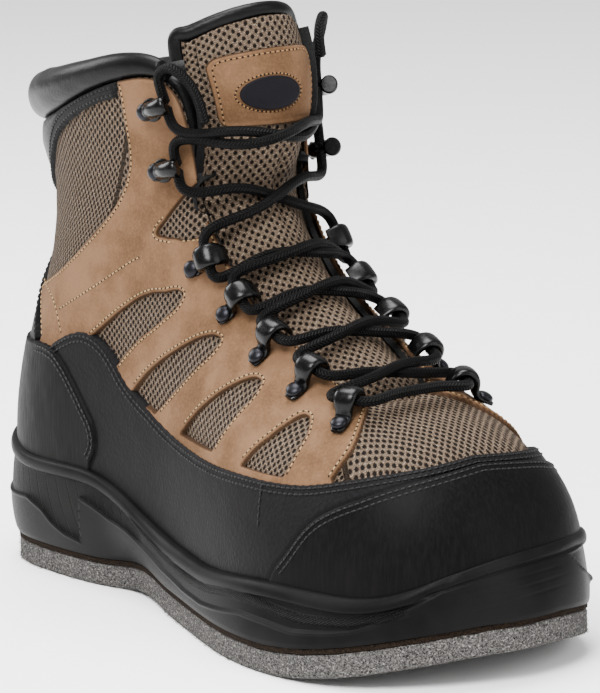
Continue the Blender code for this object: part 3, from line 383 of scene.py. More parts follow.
@dataclass(frozen=True)
class BootForm:
    """The last, the sole and their sizes: what every panel, stitch and fitting lies on.

    A rib of the upper is the cubic Bezier from the foot line to the top edge, whose two inner
    control points swell outward; stations between the table's rows come from a closed cubic
    curve round the foot.
    """

    length: float = 0.320
    ball: float = 0.128
    shaft: float = 0.219
    heel_point: float = 0.156
    wall: float = 0.0022
    gap: float = 0.0003
    felt: float = 0.0095
    backing: float = 0.0020
    heel_bed: float = 0.0175
    ball_bed: float = 0.0090
    toe_spring: float = 0.0130
    arch_lift: float = 0.0020
    cache: dict = field(default_factory=dict, compare=False)

    def __post_init__(self) -> None:
        """Work out the closed curves round the foot and keep them."""
        last = len(UPPER_STATIONS) - 1
        foot, sole = self.both(UPPER_STATIONS), self.both(SOLE_STATIONS)
        sign = np.sign(np.r_[0, -np.ones(last - 1), 0, np.ones(last - 1), 0])
        foot_rows = np.column_stack([
            (foot[:, 0] - self.heel_point) * self.length, foot[:, -1] * self.ball,
            foot[:, 3] * self.ball, foot[:, 4] * self.shaft, foot[:, 5] * self.ball,
            foot[:, 6] * self.shaft, (foot[:, 7] - self.heel_point) * self.length,
            sign * foot[:, 8] * self.ball, foot[:, 9] * self.shaft])
        rim = np.where(sign > 0, sole[:, 4], sole[:, 3])
        sole_rows = np.column_stack([
            (sole[:, 0] - self.heel_point) * self.length, sole[:, -1] * self.ball,
            rim * self.shaft, sole[:, 5] * self.ball])
        leg = np.linalg.norm(np.diff(foot_rows[:, :2], axis=0), axis=1)
        leg = leg + np.linalg.norm(np.diff(foot_rows[:, 6:], axis=0), axis=1)
        path = np.concatenate([[0], np.cumsum(leg)])
        whole = path[-1]
        knots = np.concatenate([path[:-1] - whole, path[:-1], path + whole])
        self.cache["path"], self.cache["last"] = path, last
        self.cache["foot"] = spline(knots, np.vstack([foot_rows[:-1], foot_rows[:-1], foot_rows]))
        self.cache["sole"] = spline(knots, np.vstack([sole_rows[:-1], sole_rows[:-1], sole_rows]))

    @staticmethod
    def both(table: Rows) -> Array:
        """Rows round the foot, toe to toe, with the signed half width as an added column.

        Args:
            table: rows of one side.

        Returns:
            The rows of both sides.
        """
        rows = np.array(table, float)
        outer = np.column_stack([rows, -rows[:, 1]])
        inner = np.column_stack([rows, rows[:, 2]])
        return np.vstack([outer, inner[-2:0:-1], outer[:1]])

    @property
    def last(self) -> int:
        """Station of the back of the heel."""
        return self.cache["last"]

    @property
    def turn(self) -> int:
        """Stations in a whole turn round the foot."""
        return 2 * self.last

    def ground(self, x: Array) -> Array:
        """Underside of the felt: flat at heel and ball, lifted at waist and toe.

        Args:
            x: places along the boot.

        Returns:
            Heights.
        """
        share = x / self.length + self.heel_point
        toe = self.toe_spring * np.clip((share - 0.745) / 0.255, 0, 1) ** 1.8
        return toe + self.arch_lift * np.sin(np.pi * np.clip((share - 0.26) / 0.20, 0, 1)) ** 2

    def sole_top(self, x: Array) -> Array:
        """Upper face of the felt and its board."""
        return self.ground(x) + self.felt + self.gap + self.backing

    def bed(self, x: Array) -> Array:
        """Floor inside the cup.

        Args:
            x: places along the boot.

        Returns:
            Heights.
        """
        share = x / self.length + self.heel_point
        drop = (self.ball_bed - self.heel_bed) * rise(0.30, 0.66, share)
        return self.sole_top(x) + self.gap + self.heel_bed + drop

    def place(self, station: Array) -> Array:
        """Distance round the foot at a station number of either side."""
        return np.interp(np.mod(station, self.turn), np.arange(self.turn + 1), self.cache["path"])

    def outward(self, key: str, where: Array) -> Array:
        """Level direction out of the foot from the curve called key.

        Args:
            key: foot or sole.
            where: distances round it.

        Returns:
            Unit directions.
        """
        read = self.cache[key]
        run = unit((read(where + 1e-5) - read(where - 1e-5))[..., :2])
        return np.stack([-run[..., 1], run[..., 0], np.zeros(run.shape[:-1])], axis=-1)

    def rib(self, where: Array, up: Array) -> Array:
        """Bezier rib (1-t)³F + 3(1-t)²tL + 3(1-t)t²H + t³T at a distance round the foot.

        Args:
            where: distances round the foot.
            up: height shares.

        Returns:
            Points of the upper.
        """
        row = self.cache["foot"](where)
        out = self.outward("foot", where)
        foot = np.concatenate([row[..., :2], self.bed(row[..., :1]) + self.gap], axis=-1)
        top = row[..., 6:9]
        low = foot + out * row[..., 2:3] + UP * row[..., 3:4]
        high = top + out * row[..., 4:5] - UP * row[..., 5:6]
        t, s = up[..., None], 1 - up[..., None]
        return s ** 3 * foot + 3 * s * s * t * low + 3 * s * t * t * high + t ** 3 * top

    def surface(self, station: Array, up: Array) -> tuple[Array, Array]:
        """Points of the upper and their outward normals.

        Args:
            station: station numbers, negative on the inner side.
            up: height shares.

        Returns:
            The points and the unit normals.
        """
        station, up = np.broadcast_arrays(np.asarray(station, float), np.asarray(up, float))
        where = self.place(station)
        low = np.clip(up, 1e-4, 1 - 1e-4)
        across = self.rib(where + 1e-5, low) - self.rib(where - 1e-5, low)
        along = self.rib(where, low + 1e-4) - self.rib(where, low - 1e-4)
        return self.rib(where, up), unit(np.cross(along, across))

    def point(self, station: Array, up: Array, off: Array = 0.0) -> Array:
        """Points of the upper set off along the outward normal.

        Args:
            station: station numbers.
            up: height shares.
            off: metres off the surface.

        Returns:
            The points.
        """
        points, normals = self.surface(station, up)
        return points + normals * np.asarray(off)[..., None]

    def rim_share(self, station: Array) -> Array:
        """Height share of the upper at which the rim of the cup meets it.

        Args:
            station: station numbers.

        Returns:
            Height shares.
        """
        station = np.asarray(station, float)
        shares = np.linspace(0, 0.6, 61)
        heights = self.rib(self.place(station)[..., None], np.broadcast_to(
            shares, station.shape + (61,)))[..., 2].reshape(-1, 61)
        rim = self.cache["sole"](self.place(station))[..., 2].reshape(-1)
        found = [np.interp(z, row, shares) for z, row in zip(rim, heights)]
        return np.array(found).reshape(station.shape)

    def stations(self, first: float, stop: float, pitch: float) -> Array:
        """Station numbers from first to stop, pitch metres apart round the foot.

        Args:
            first: first station.
            stop: last station.
            pitch: metres between two.

        Returns:
            The stations.
        """
        fine = np.linspace(first, stop, 400)
        step = np.abs(np.diff(np.unwrap(self.place(fine), period=self.cache["path"][-1])))
        run = np.concatenate([[0], np.cumsum(step)]) * 0.5
        return np.interp(np.linspace(0, run[-1], int(run[-1] / pitch) + 2), run, fine)

    def ring(self, count: int) -> Array:
        """Stations evenly round the whole foot, starting at the toe.

        Args:
            count: how many.

        Returns:
            The stations.
        """
        where = np.linspace(0, self.cache["path"][-1], count, endpoint=False)
        station = np.interp(where, self.cache["path"], np.arange(self.turn + 1))
        return np.where(station > self.last, station - self.turn, station)


# Meshes


def grid_faces(rows: int, columns: int, wrap_rows: bool = False, wrap_columns: bool = False) -> Array:
    """Quads of a grid: (i, j), (i+1, j), (i+1, j+1), (i, j+1), wrapped where asked.

    Args:
        rows: rows of points.
        columns: points in a row.
        wrap_rows: join the last row to the first.
        wrap_columns: join the ends of each row.

    Returns:
        Corner numbers, four a face.
    """
    i = np.arange(rows if wrap_rows else rows - 1)[:, None]
    j = np.arange(columns if wrap_columns else columns - 1)[None, :]
    n, m = (i + 1) % rows, (j + 1) % columns
    quads = np.stack(np.broadcast_arrays(
        i * columns + j, n * columns + j, n * columns + m, i * columns + m), axis=-1)
    return quads.reshape(-1, 4)


@dataclass
class Soup:
    """Points, quads and per-point values that grow into one mesh."""

    points: list[Array] = field(default_factory=list)
    quads: list[Array] = field(default_factory=list)
    slots: list[Array] = field(default_factory=list)
    flat: list[Array] = field(default_factory=list)
    edge: list[Array] = field(default_factory=list)
    count: int = 0

    def add(self, points: Array, quads: Array, slot: int = 0, flat: Optional[Array] = None,
            edge: Optional[Array] = None) -> None:
        """Add a patch.

        Args:
            points: (n, 3) places.
            quads: (m, 4) corners; a triangle repeats its last corner.
            slot: material slot of all its faces.
            flat: (n, 2) pattern coordinates in millimetres.
            edge: (n,) value for the shader, such as the distance from the edge.
        """
        points = points.reshape(-1, 3)
        self.points.append(points)
        self.quads.append(quads + self.count)
        self.slots.append(np.full(len(quads), slot))
        self.flat.append(np.zeros((len(points), 2)) if flat is None else flat.reshape(-1, 2))
        self.edge.append(np.full(len(points), 9.0) if edge is None else edge.reshape(-1))
        self.count += len(points)

    def grid(self, points: Array, slot: int = 0, wrap_rows: bool = False, wrap_columns: bool = False,
             flip: bool = False, flat: Optional[Array] = None, edge: Optional[Array] = None) -> None:
        """Add a grid of points (rows, columns, 3) as a sheet.

        Args:
            points: the grid.
            slot: material slot.
            wrap_rows: join the last row to the first.
            wrap_columns: join the ends of each row.
            flip: turn the faces over.
            flat: pattern coordinates.
            edge: value for the shader.
        """
        quads = grid_faces(*points.shape[:2], wrap_rows, wrap_columns)
        self.add(points, quads[:, ::-1] if flip else quads, slot, flat, edge)

    def cap(self, loop: Array, slot: int = 0, flip: bool = False) -> None:
        """Close a loop with a fan round its middle point.

        Args:
            loop: points round it.
            slot: material slot.
            flip: turn the faces over.
        """
        n = len(loop)
        k = np.arange(n)
        quads = np.stack([k, (k + 1) % n, np.full(n, n), np.full(n, n)], axis=-1)
        self.add(np.vstack([loop, loop.mean(0)]), quads[:, [1, 0, 2, 3]] if flip else quads, slot)

    def tube(self, loops: Array, flat: Optional[Array] = None) -> None:
        """Add rings of points as a tube closed at both ends.

        Args:
            loops: (rings, sides, 3) points.
            flat: their pattern coordinates.
        """
        self.grid(loops, 0, wrap_columns=True, flat=flat)
        self.cap(loops[0], 0)
        self.cap(loops[-1], 0, flip=True)

    def make(self, name: str, materials: Sequence[Material]) -> Thing:
        """Weld the patches into one smooth-shaded object at the origin.

        Args:
            name: the piece's name.
            materials: one per slot.

        Returns:
            The new object, linked to the scene.
        """
        points, quads = np.vstack(self.points), np.vstack(self.quads)
        triangle = quads[:, 2] == quads[:, 3]
        sizes = np.where(triangle, 3, 4)
        corners = quads[np.repeat(np.arange(len(quads)), 4).reshape(-1, 4), np.arange(4)]
        keep = np.ones_like(corners, bool)
        keep[triangle, 3] = False
        loops = corners[keep]
        mesh = bpy.data.meshes.new(name)
        mesh.vertices.add(len(points))
        mesh.vertices.foreach_set("co", points.astype(np.float32).ravel())
        mesh.loops.add(len(loops))
        mesh.loops.foreach_set("vertex_index", loops.astype(np.int32))
        mesh.polygons.add(len(quads))
        mesh.polygons.foreach_set("loop_start", np.r_[0, np.cumsum(sizes)[:-1]].astype(np.int32))
        mesh.polygons.foreach_set("material_index", np.concatenate(self.slots).astype(np.int32))
        mesh.update(calc_edges=True)
        mesh.validate()
        uv = mesh.uv_layers.new(name="flat")
        order = np.zeros(len(mesh.loops), np.int32)
        mesh.loops.foreach_get("vertex_index", order)
        uv.data.foreach_set("uv", np.vstack(self.flat)[order].astype(np.float32).ravel())
        value = mesh.attributes.new("edge", "FLOAT", "POINT")
        value.data.foreach_set("value", np.concatenate(self.edge).astype(np.float32))
        mesh.shade_smooth()
        for material in materials:
            mesh.materials.append(material)
        thing = bpy.data.objects.new(name, mesh)
        bpy.context.scene.collection.objects.link(thing)
        return thing


def dress(piece: Thing, slot: str, *nodes: str) -> Thing:
    """Let a piece ride on the boot, take a slot's finish and stand for CAD nodes.

    Args:
        piece: the piece.
        slot: its slot.
        nodes: CAD nodes that it replaces.

    Returns:
        The piece.
    """
    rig.ride(piece, "root")
    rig.slot(piece, slot)
    if nodes:
        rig.replaces(piece, *nodes)
    count = sum(len(p.vertices) - 2 for p in piece.data.polygons) if piece.type == "MESH" else 0
    log.info("%s: %d triangles", piece.name, count)
    return piece


def frames(route: Array) -> tuple[Array, Array]:
    """Two directions square to a route at each point, carried along without sudden turns.

    Args:
        route: its points.

    Returns:
        Both directions at each point.
    """
    run = unit(np.gradient(route, axis=0))
    side = np.cross(run[0], [0.3, 0.2, 0.9])
    first = []
    for way in run:
        side = side - way * (side @ way)
        side = side / np.linalg.norm(side)
        first.append(side)
    first = np.array(first)
    return first, np.cross(run, first)


def turned(soup: Soup, base: Array, axis: Array, a: Array, b: Array, profile: Rows, slot: int,
           sides: int = 28) -> None:
    """Add a turned shape: radius and height rows carried round an axis, closed at the top.

    Args:
        soup: where it goes.
        base: foot of the axis.
        axis: direction of the axis.
        a: a direction square to it.
        b: the other one.
        profile: rows of radius and height, from the rim to the crown.
        slot: material slot.
        sides: facets round.
    """
    angle = circle(sides)[:, None]
    ring = np.cos(angle) * a + np.sin(angle) * b
    loops = np.array([base + ring * r + axis * h for r, h in profile])
    soup.grid(loops, slot, wrap_columns=True, flip=True)
    soup.cap(loops[-1], slot)


# Finishes


def linear(code: str) -> tuple[float, float, float, float]:
    """A hex colour as linear light: ((c + 0.055) / 1.055)^2.4."""
    value = [int(code[i:i + 2], 16) / 255 for i in (0, 2, 4)]
    return (*[((c + 0.055) / 1.055) ** 2.4 if c > 0.04 else c / 12.92 for c in value], 1.0)


class Recipe:
    """The nodes of one material, with short ways to add them."""

    def __init__(self, name: str) -> None:
        """Start a material with a plain Principled shader.

        Args:
            name: the material's name.
        """
        self.material = bpy.data.materials.new(name)
        self.material.use_nodes = True
        self.tree = self.material.node_tree
        self.shader = self.tree.nodes["Principled BSDF"]

    def put(self, socket: Socket, value: object) -> None:
        """Link a socket, or set its default.

        Args:
            socket: an input.
            value: a socket, a value or None.
        """
        if isinstance(value, Socket):
            self.tree.links.new(value, socket)
        elif value is not None:
            socket.default_value = value

    def node(self, kind: str, *inputs: object, **settings: object) -> bpy.types.Node:
        """Add a node, its settings and its inputs in order; None leaves an input alone.

        Args:
            kind: type of node.
            inputs: sockets or values, in order.
            settings: the node's own fields.

        Returns:
            The node.
        """
        made = self.tree.nodes.new(kind)
        for key, value in settings.items():
            setattr(made, key, value)
        for socket, value in zip(made.inputs, inputs):
            self.put(socket, value)
        return made

    def math(self, operation: str, a: object, b: object = None, c: object = None) -> Socket:
        """One sum."""
        return self.node("ShaderNodeMath", a, b, c, operation=operation).outputs[0]

    def times(self, a: object, b: object) -> Socket:
        """A product."""
        return self.math("MULTIPLY", a, b)

    def step(self, value: object, low: float, high: float) -> Socket:
        """Smooth step from 0 at low to 1 at high."""
        made = self.node("ShaderNodeMapRange", value, low, high, interpolation_type="SMOOTHSTEP")
        return made.outputs[0]

    def object_place(self, scale: Sequence[float] = (1, 1, 1), turn: Sequence[float] = (0, 0, 0)) \
            -> Socket:
        """Object coordinates in metres, turned and stretched.

        Args:
            scale: stretch by axis.
            turn: rotation by axis.

        Returns:
            The coordinates.
        """
        coordinates = self.node("ShaderNodeTexCoord").outputs["Object"]
        mapping = self.node("ShaderNodeMapping", coordinates)
        mapping.inputs["Scale"].default_value = scale
        mapping.inputs["Rotation"].default_value = turn
        return mapping.outputs[0]

    def flat_place(self) -> Socket:
        """The piece's own pattern coordinates, in millimetres."""
        return self.node("ShaderNodeUVMap", uv_map="flat").outputs[0]

    def value(self) -> Socket:
        """The piece's own edge value."""
        return self.node("ShaderNodeAttribute", attribute_name="edge").outputs["Fac"]

    def noise(self, vector: object, scale: float, detail: float = 3.0, rough: float = 0.55) \
            -> Socket:
        """Fractal noise from 0 to 1.

        Args:
            vector: coordinates.
            scale: fineness.
            detail: octaves.
            rough: share kept by each finer one.

        Returns:
            The noise.
        """
        made = self.node("ShaderNodeTexNoise", vector)
        made.inputs["Scale"].default_value = scale
        made.inputs["Detail"].default_value = detail
        made.inputs["Roughness"].default_value = rough
        return made.outputs["Fac"]

    def cells(self, vector: object, scale: float) -> Socket:
        """Distance in a field of scattered cells.

        Args:
            vector: coordinates.
            scale: fineness.

        Returns:
            The distance.
        """
        made = self.node("ShaderNodeTexVoronoi", vector)
        made.inputs["Scale"].default_value = scale
        return made.outputs["Distance"]

    def mix(self, share: object, a: object, b: object) -> Socket:
        """Colour between a and b.

        Args:
            share: 0 for a, 1 for b.
            a: a colour.
            b: another.

        Returns:
            The colour.
        """
        made = self.node("ShaderNodeMix", data_type="RGBA")
        for index, value in ((0, share), (6, a), (7, b)):
            self.put(made.inputs[index], value)
        return made.outputs[2]

    def relief(self, *layers: tuple[object, float]) -> None:
        """Stack bumps on the shader: rows of height and depth in millimetres.

        Args:
            layers: height and depth of each bump.
        """
        normal = None
        for height, depth in layers:
            made = self.node("ShaderNodeBump")
            made.inputs["Strength"].default_value = 1.0
            made.inputs["Distance"].default_value = depth * MM
            self.put(made.inputs["Height"], height)
            self.put(made.inputs["Normal"], normal)
            normal = made.outputs[0]
        self.put(self.shader.inputs["Normal"], normal)

    def set(self, **values: object) -> Material:
        """Set shader inputs by name, with underscores for spaces, and return the material.

        Args:
            values: sockets or values by name.

        Returns:
            The material.
        """
        for key, value in values.items():
            self.put(self.shader.inputs[key.replace("_", " ")], value)
        return self.material


@dataclass(frozen=True)
class Nubuck:
    """Tan nubuck: blotched, short nap, darker at its cut edge: partly the edge's own colour, partly painted shade
    along the edge.
    """

    light: str = "624935"
    dark: str = "483321"
    # Dark of the cut edge, which also serves as painted shade along the edge.
    cut_edge_and_shade: str = "1A0F07"

    def material(self) -> Material:
        """Build the material.

        Returns:
            The material.
        """
        r = Recipe("nubuck")
        place = r.object_place()
        blotch = r.noise(place, 38, 4)
        nap = r.noise(place, 900, 2)
        colour = r.mix(r.step(blotch, 0.32, 0.68), linear(self.dark), linear(self.light))
        colour = r.mix(r.times(r.step(nap, 0.35, 0.75), 0.20), colour, linear("765B43"))
        # Painted shade along each panel edge, on top of the cut edge's own dark colour: darker from 0.75 mm inside the
        # edge outward.
        rim = r.math("SUBTRACT", 1.0, r.step(r.value(), 0.15, 0.75))
        colour = r.mix(r.times(rim, 0.8), colour, linear(self.cut_edge_and_shade))
        r.relief((nap, 0.10), (r.noise(place, 240, 3), 0.18))
        return r.set(Base_Color=colour, Roughness=0.88, Specular_IOR_Level=0.08)


@dataclass(frozen=True)
class SpacerMesh:
    """Open knitted mesh: staggered round holes in a taupe yarn, with painted highlight flecks on the yarn strokes and
    painted shade between the strokes and round the holes.
    """

    name: str = "upper_mesh"
    pitch_u: float = 3.3
    pitch_v: float = 3.7
    wide: float = 0.56
    tall: float = 0.86
    yarn: str = "6C5E50"
    shade: str = "44382D"

    def material(self) -> Material:
        """Build the material.

        Distance to the nearest hole is the smaller of the distances to two lattices, one set
        off half a pitch both ways, in units of the hole's half width and half height; the
        holes are where it is under 1. The yarns are short slanted strokes: a sine of the
        height and of a zigzag across.

        Returns:
            The material.
        """
        r = Recipe(self.name)
        flat = r.flat_place()
        wander = r.noise(flat, 0.35, 1)
        split = r.node("ShaderNodeSeparateXYZ", flat)
        u = r.math("ADD", split.outputs[0], r.times(wander, 0.6))
        v = r.math("ADD", split.outputs[1], r.times(wander, 0.5))
        fields = []
        for shift in (0.0, 0.5):
            parts = []
            for value, pitch, half in ((u, self.pitch_u, self.wide), (v, self.pitch_v, self.tall)):
                cell = r.math("FRACT", r.math("ADD", r.math("DIVIDE", value, pitch), shift + 500.0))
                away = r.times(r.math("SUBTRACT", cell, 0.5), pitch / half)
                parts.append(r.times(away, away))
            fields.append(r.math("SQRT", r.math("ADD", *parts)))
        near = r.math("MINIMUM", *fields)
        body = r.step(near, 0.78, 1.22)
        zigzag = r.math("PINGPONG", r.math("ADD", u, 1000.0), self.pitch_u / 4)
        stroke = r.math("SINE", r.math("ADD", r.times(v, 6.6), r.times(zigzag, 5.0)))
        stroke = r.step(stroke, -0.5, 1.0)
        fleck = r.noise(flat, 1.9, 2)
        colour = r.mix(r.step(fleck, 0.30, 0.72), linear(self.shade), linear(self.yarn))
        # Painted highlight: light flecks on the crests of the yarn strokes.
        highlight_flecks = r.times(r.step(r.noise(flat, 0.9, 1), 0.45, 0.70), stroke)
        colour = r.mix(r.times(highlight_flecks, 0.75), colour, linear("9C8C7A"))
        # Painted shade: the yarn is darkened between the strokes.
        colour = r.mix(r.times(stroke, 0.35), r.mix(0.45, colour, linear("2A1F17")), colour)
        crown = r.step(near, 1.0, 1.75)
        # Painted shade: the yarn darkens toward the rim of each hole.
        colour = r.mix(crown, r.mix(0.6, colour, linear("2A1F17")), colour)
        colour = r.mix(body, linear("0A0705"), colour)
        r.relief((body, 0.60), (crown, 0.30), (stroke, 0.16), (fleck, 0.12))
        return r.set(Base_Color=colour, Roughness=0.82, Specular_IOR_Level=0.08)


@dataclass(frozen=True)
class Rubber:
    """Dark rubber or coated leather with a grain that can be stretched into streaks."""

    name: str
    base: str
    light: str
    grain: float = 700.0
    depth: float = 0.10
    rough: float = 0.55
    stretch: tuple[float, float, float] = (1, 1, 1)
    pebbled: bool = False
    streak: float = 0.5

    def material(self) -> Material:
        """Build the material.

        Returns:
            The material.
        """
        r = Recipe(self.name)
        place = r.object_place(self.stretch)
        fine = r.noise(place, self.grain, 4, 0.65)
        broad = r.noise(r.object_place(), 26, 3)
        colour = r.mix(r.times(r.step(fine, 0.35, 0.75), self.streak),
                       linear(self.base), linear(self.light))
        colour = r.mix(r.times(r.step(broad, 0.4, 0.7), 0.25), colour, linear(self.light))
        layers = [(fine, self.depth)]
        if self.pebbled:
            layers.append((r.cells(r.object_place(), 620), 0.16))
        r.relief(*layers)
        spread = r.node("ShaderNodeMapRange", fine, 0.2, 0.8, self.rough - 0.08, self.rough + 0.1)
        return r.set(Base_Color=colour, Roughness=spread.outputs[0], Specular_IOR_Level=0.035)


@dataclass(frozen=True)
class CupRubber:
    """Moulded rubber of the cup: grained, with lozenges where the edge value is 1, ribs at 2; the raised lozenges and
    ribs are painted lighter as painted highlight.
    """

    base: str = "060606"
    light: str = "0F0E0E"

    def material(self) -> Material:
        """Build the material.

        Lozenges are |sin a| |sin b| of two slanted coordinates; a rib is a narrow peak of the
        cosine of another, wide apart.

        Returns:
            The material.
        """
        r = Recipe("cup_rubber")
        place = r.object_place()
        grain = r.noise(place, 1500, 3, 0.6)
        broad = r.noise(place, 30, 3)
        split = r.node("ShaderNodeSeparateXYZ", r.flat_place())
        waves = []
        for sign in (1.0, -1.0):
            slant = r.math("ADD", r.times(split.outputs[0], 2.6),
                           r.times(split.outputs[1], 3.6 * sign))
            waves.append(r.math("ABSOLUTE", r.math("SINE", slant)))
        lozenge = r.times(r.times(*waves), r.math("MINIMUM", r.value(), 1.0))
        slant = r.math("SUBTRACT", split.outputs[0], r.times(split.outputs[1], 0.30))
        peak = r.step(r.math("COSINE", r.times(slant, 0.85)), 0.93, 1.0)
        rib = r.times(peak, r.step(r.value(), 1.0, 2.0))
        colour = r.mix(r.step(broad, 0.3, 0.7), linear(self.base), linear(self.light))
        # Painted highlight: the crests of the lozenges and ribs are lighter than the rubber round them.
        colour = r.mix(r.times(lozenge, 0.55), colour, linear("1C1B1A"))
        colour = r.mix(r.times(rib, 0.80), colour, linear("201F1E"))
        r.relief((grain, 0.05), (lozenge, 0.80), (rib, 1.00))
        spread = r.node("ShaderNodeMapRange", grain, 0.2, 0.8, 0.36, 0.54)
        return r.set(Base_Color=colour, Roughness=spread.outputs[0], Specular_IOR_Level=0.035)


@dataclass(frozen=True)
class Felt:
    """Pressed felt: grey, speckled with dark and light hairs."""

    name: str = "felt"
    base: str = "565452"
    dark: str = "242323"
    light: str = "8A8783"
    speck: str = "0C0C0C"

    def material(self) -> Material:
        """Build the material.

        Returns:
            The material.
        """
        r = Recipe(self.name)
        fine = r.noise(r.object_place(), 1400, 5, 0.7)
        hair = r.noise(r.object_place((1, 1, 1.6)), 850, 4, 0.7)
        colour = r.mix(r.step(fine, 0.38, 0.60), linear(self.dark), linear(self.base))
        colour = r.mix(r.step(hair, 0.54, 0.68), colour, linear(self.light))
        colour = r.mix(r.step(r.noise(r.object_place(), 950, 3, 0.7), 0.57, 0.66), colour,
                       linear(self.speck))
        r.relief((fine, 0.6), (hair, 0.5))
        return r.set(Base_Color=colour, Roughness=1.0, Specular_IOR_Level=0.05)


@dataclass(frozen=True)
class SoftLeather:
    """Smooth black leather of the collar, with fine wrinkles."""

    name: str = "collar_leather"
    base: str = "050505"
    light: str = "0C0B0B"
    rough: float = 0.36

    def material(self) -> Material:
        """Build the material.

        Returns:
            The material.
        """
        r = Recipe(self.name)
        place = r.object_place()
        grain = r.cells(place, 900)
        wrinkle = r.noise(r.object_place((1, 1, 2.2)), 70, 4, 0.5)
        colour = r.mix(r.step(wrinkle, 0.35, 0.7), linear(self.base), linear(self.light))
        r.relief((grain, 0.05), (wrinkle, 0.35))
        return r.set(Base_Color=colour, Roughness=self.rough, Specular_IOR_Level=0.08)


@dataclass(frozen=True)
class Cloth:
    """Plain close cloth for linings, webbing and thread."""

    name: str
    base: str
    light: str
    scale: float = 1400.0
    rough: float = 0.85

    def material(self) -> Material:
        """Build the material.

        Returns:
            The material.
        """
        r = Recipe(self.name)
        weave = r.cells(r.object_place(), self.scale)
        colour = r.mix(r.step(weave, 0.1, 0.7), linear(self.light), linear(self.base))
        r.relief((weave, -0.12))
        return r.set(Base_Color=colour, Roughness=self.rough, Specular_IOR_Level=0.15)


@dataclass(frozen=True)
class Braid:
    """Black round braid with herringbone ribs, with painted highlights on the rib crests."""

    pitch: float = 1.25
    lean: float = 1.3

    def material(self) -> Material:
        """Build the material.

        The piece's pattern coordinates are a zigzag from 0 to 1 round the lace and the length
        along it; a rib is |sin| of the length plus the zigzag, and a valley runs where the
        zigzag turns.

        Returns:
            The material.
        """
        r = Recipe("lace_braid")
        split = r.node("ShaderNodeSeparateXYZ", r.flat_place())
        fold, along = split.outputs[0], split.outputs[1]
        phase = r.math("ADD", along, r.times(fold, self.lean))
        rib = r.math("ABSOLUTE", r.math("SINE", r.times(phase, np.pi / self.pitch)))
        turn = r.math("MINIMUM", fold, r.math("SUBTRACT", 1.0, fold))
        rib = r.times(rib, r.step(turn, -0.08, 0.22))
        strand = r.noise(r.object_place(), 2600, 2, 0.6)
        # Painted highlight: the rib crests are lighter than the valleys, and fine flecks on the crests lighter still.
        colour = r.mix(r.step(rib, 0.25, 1.0), linear("020202"), linear("0B0A0A"))
        colour = r.mix(r.times(r.step(strand, 0.56, 0.74), r.step(rib, 0.6, 1.0)), colour,
                       linear("201E1D"))
        r.relief((rib, 0.55), (strand, 0.08))
        return r.set(Base_Color=colour, Roughness=0.50, Specular_IOR_Level=0.06)


@dataclass(frozen=True)
class Metal:
    """Coated or bare metal of the fittings."""

    name: str
    base: str
    rough: float
    metallic: float

    def material(self) -> Material:
        """Build the material, with faint handling marks in its gloss.

        Returns:
            The material.
        """
        r = Recipe(self.name)
        marks = r.noise(r.object_place(), 420, 4, 0.7)
        spread = r.node("ShaderNodeMapRange", marks, 0.3, 0.8, self.rough, self.rough + 0.16)
        colour = r.mix(r.step(marks, 0.5, 0.8), linear(self.base), linear("1E1E20"))
        r.relief((marks, 0.02))
        return r.set(Base_Color=r.mix(0.9, colour, linear(self.base)), Metallic=self.metallic,
                     Roughness=spread.outputs[0], Specular_IOR_Level=0.14)


@dataclass
class Finishes:
    """Every material of the boot, made once."""

    made: dict[str, Material] = field(default_factory=dict)

    def __post_init__(self) -> None:
        """Build them all."""
        for key, finish in {
            "nubuck": Nubuck(),
            "mesh": SpacerMesh(),
            "tongue_mesh": SpacerMesh("tongue_mesh", 3.7, 4.0, 0.56, 0.76, "6A5C4E", "42362B"),
            "rand": Rubber("rand_rubber", "0D0C0D", "161516", 900, 0.08, 0.56, pebbled=True),
            "cap": Rubber("cap_rubber", "050505", "100E0E", 500, 0.14, 0.50, (1.6, 1.6, 0.10)),
            "cup": CupRubber(),
            "felt": Felt(),
            "board": Felt("felt_board", "1F1812", "100B08", "2A2119", "080504"),
            "leather": SoftLeather(),
            "badge": Rubber("badge_rubber", "0E0D10", "17161A", 1400, 0.05, 0.45),
            "lining": Cloth("lining_cloth", "080808", "161515"),
            "footbed": Cloth("footbed_cloth", "181818", "2C2B2B", 900),
            "webbing": Cloth("trim_webbing", "080808", "191818", 1100),
            "cream": Cloth("thread_cream", "735B3D", "A38A66", 2500),
            "brown": Cloth("thread_brown", "64482D", "8A6A48", 2500),
            "black": Cloth("thread_black", "020202", "0B0A0A", 2500, 0.5),
            "grey": Cloth("thread_grey", "080707", "1A1919", 2500, 0.5),
            # Needle holes: painted shade, a dark disc where each hole is.
            "pit": Cloth("needle_hole", "040302", "0A0705", 900),
            "braid": Braid(),
            "gloss": Metal("hardware_black", "020202", 0.20, 0.0),
            "steel": Metal("rivet_steel", "1C1C1F", 0.28, 0.9),
        }.items():
            self.made[key] = finish.material()

    def __getitem__(self, key: str) -> Material:
        """Material by its short key."""
        return self.made[key]


# Panels and stitches on the upper


def line(rows: Rows, count: int = 60) -> Array:
    """A smooth panel edge through rows of station and height share.

    Args:
        rows: the rows.
        count: points to give.

    Returns:
        Rows of the edge.
    """
    rows = np.array(rows, float)
    return smooth(rows * CELL, count) / CELL


def dense(outline: Array, pitch: float = 0.0011) -> Array:
    """Corners of a closed outline set closer than pitch metres.

    Args:
        outline: rows of station and share.
        pitch: metres between corners.

    Returns:
        The corners.
    """
    after = np.roll(outline, -1, axis=0)
    parts = []
    for a, b in zip(outline, after):
        n = max(1, int(np.linalg.norm((b - a) * CELL) / pitch))
        parts.append(a + (b - a) * np.arange(n)[:, None] / n)
    return np.vstack(parts)


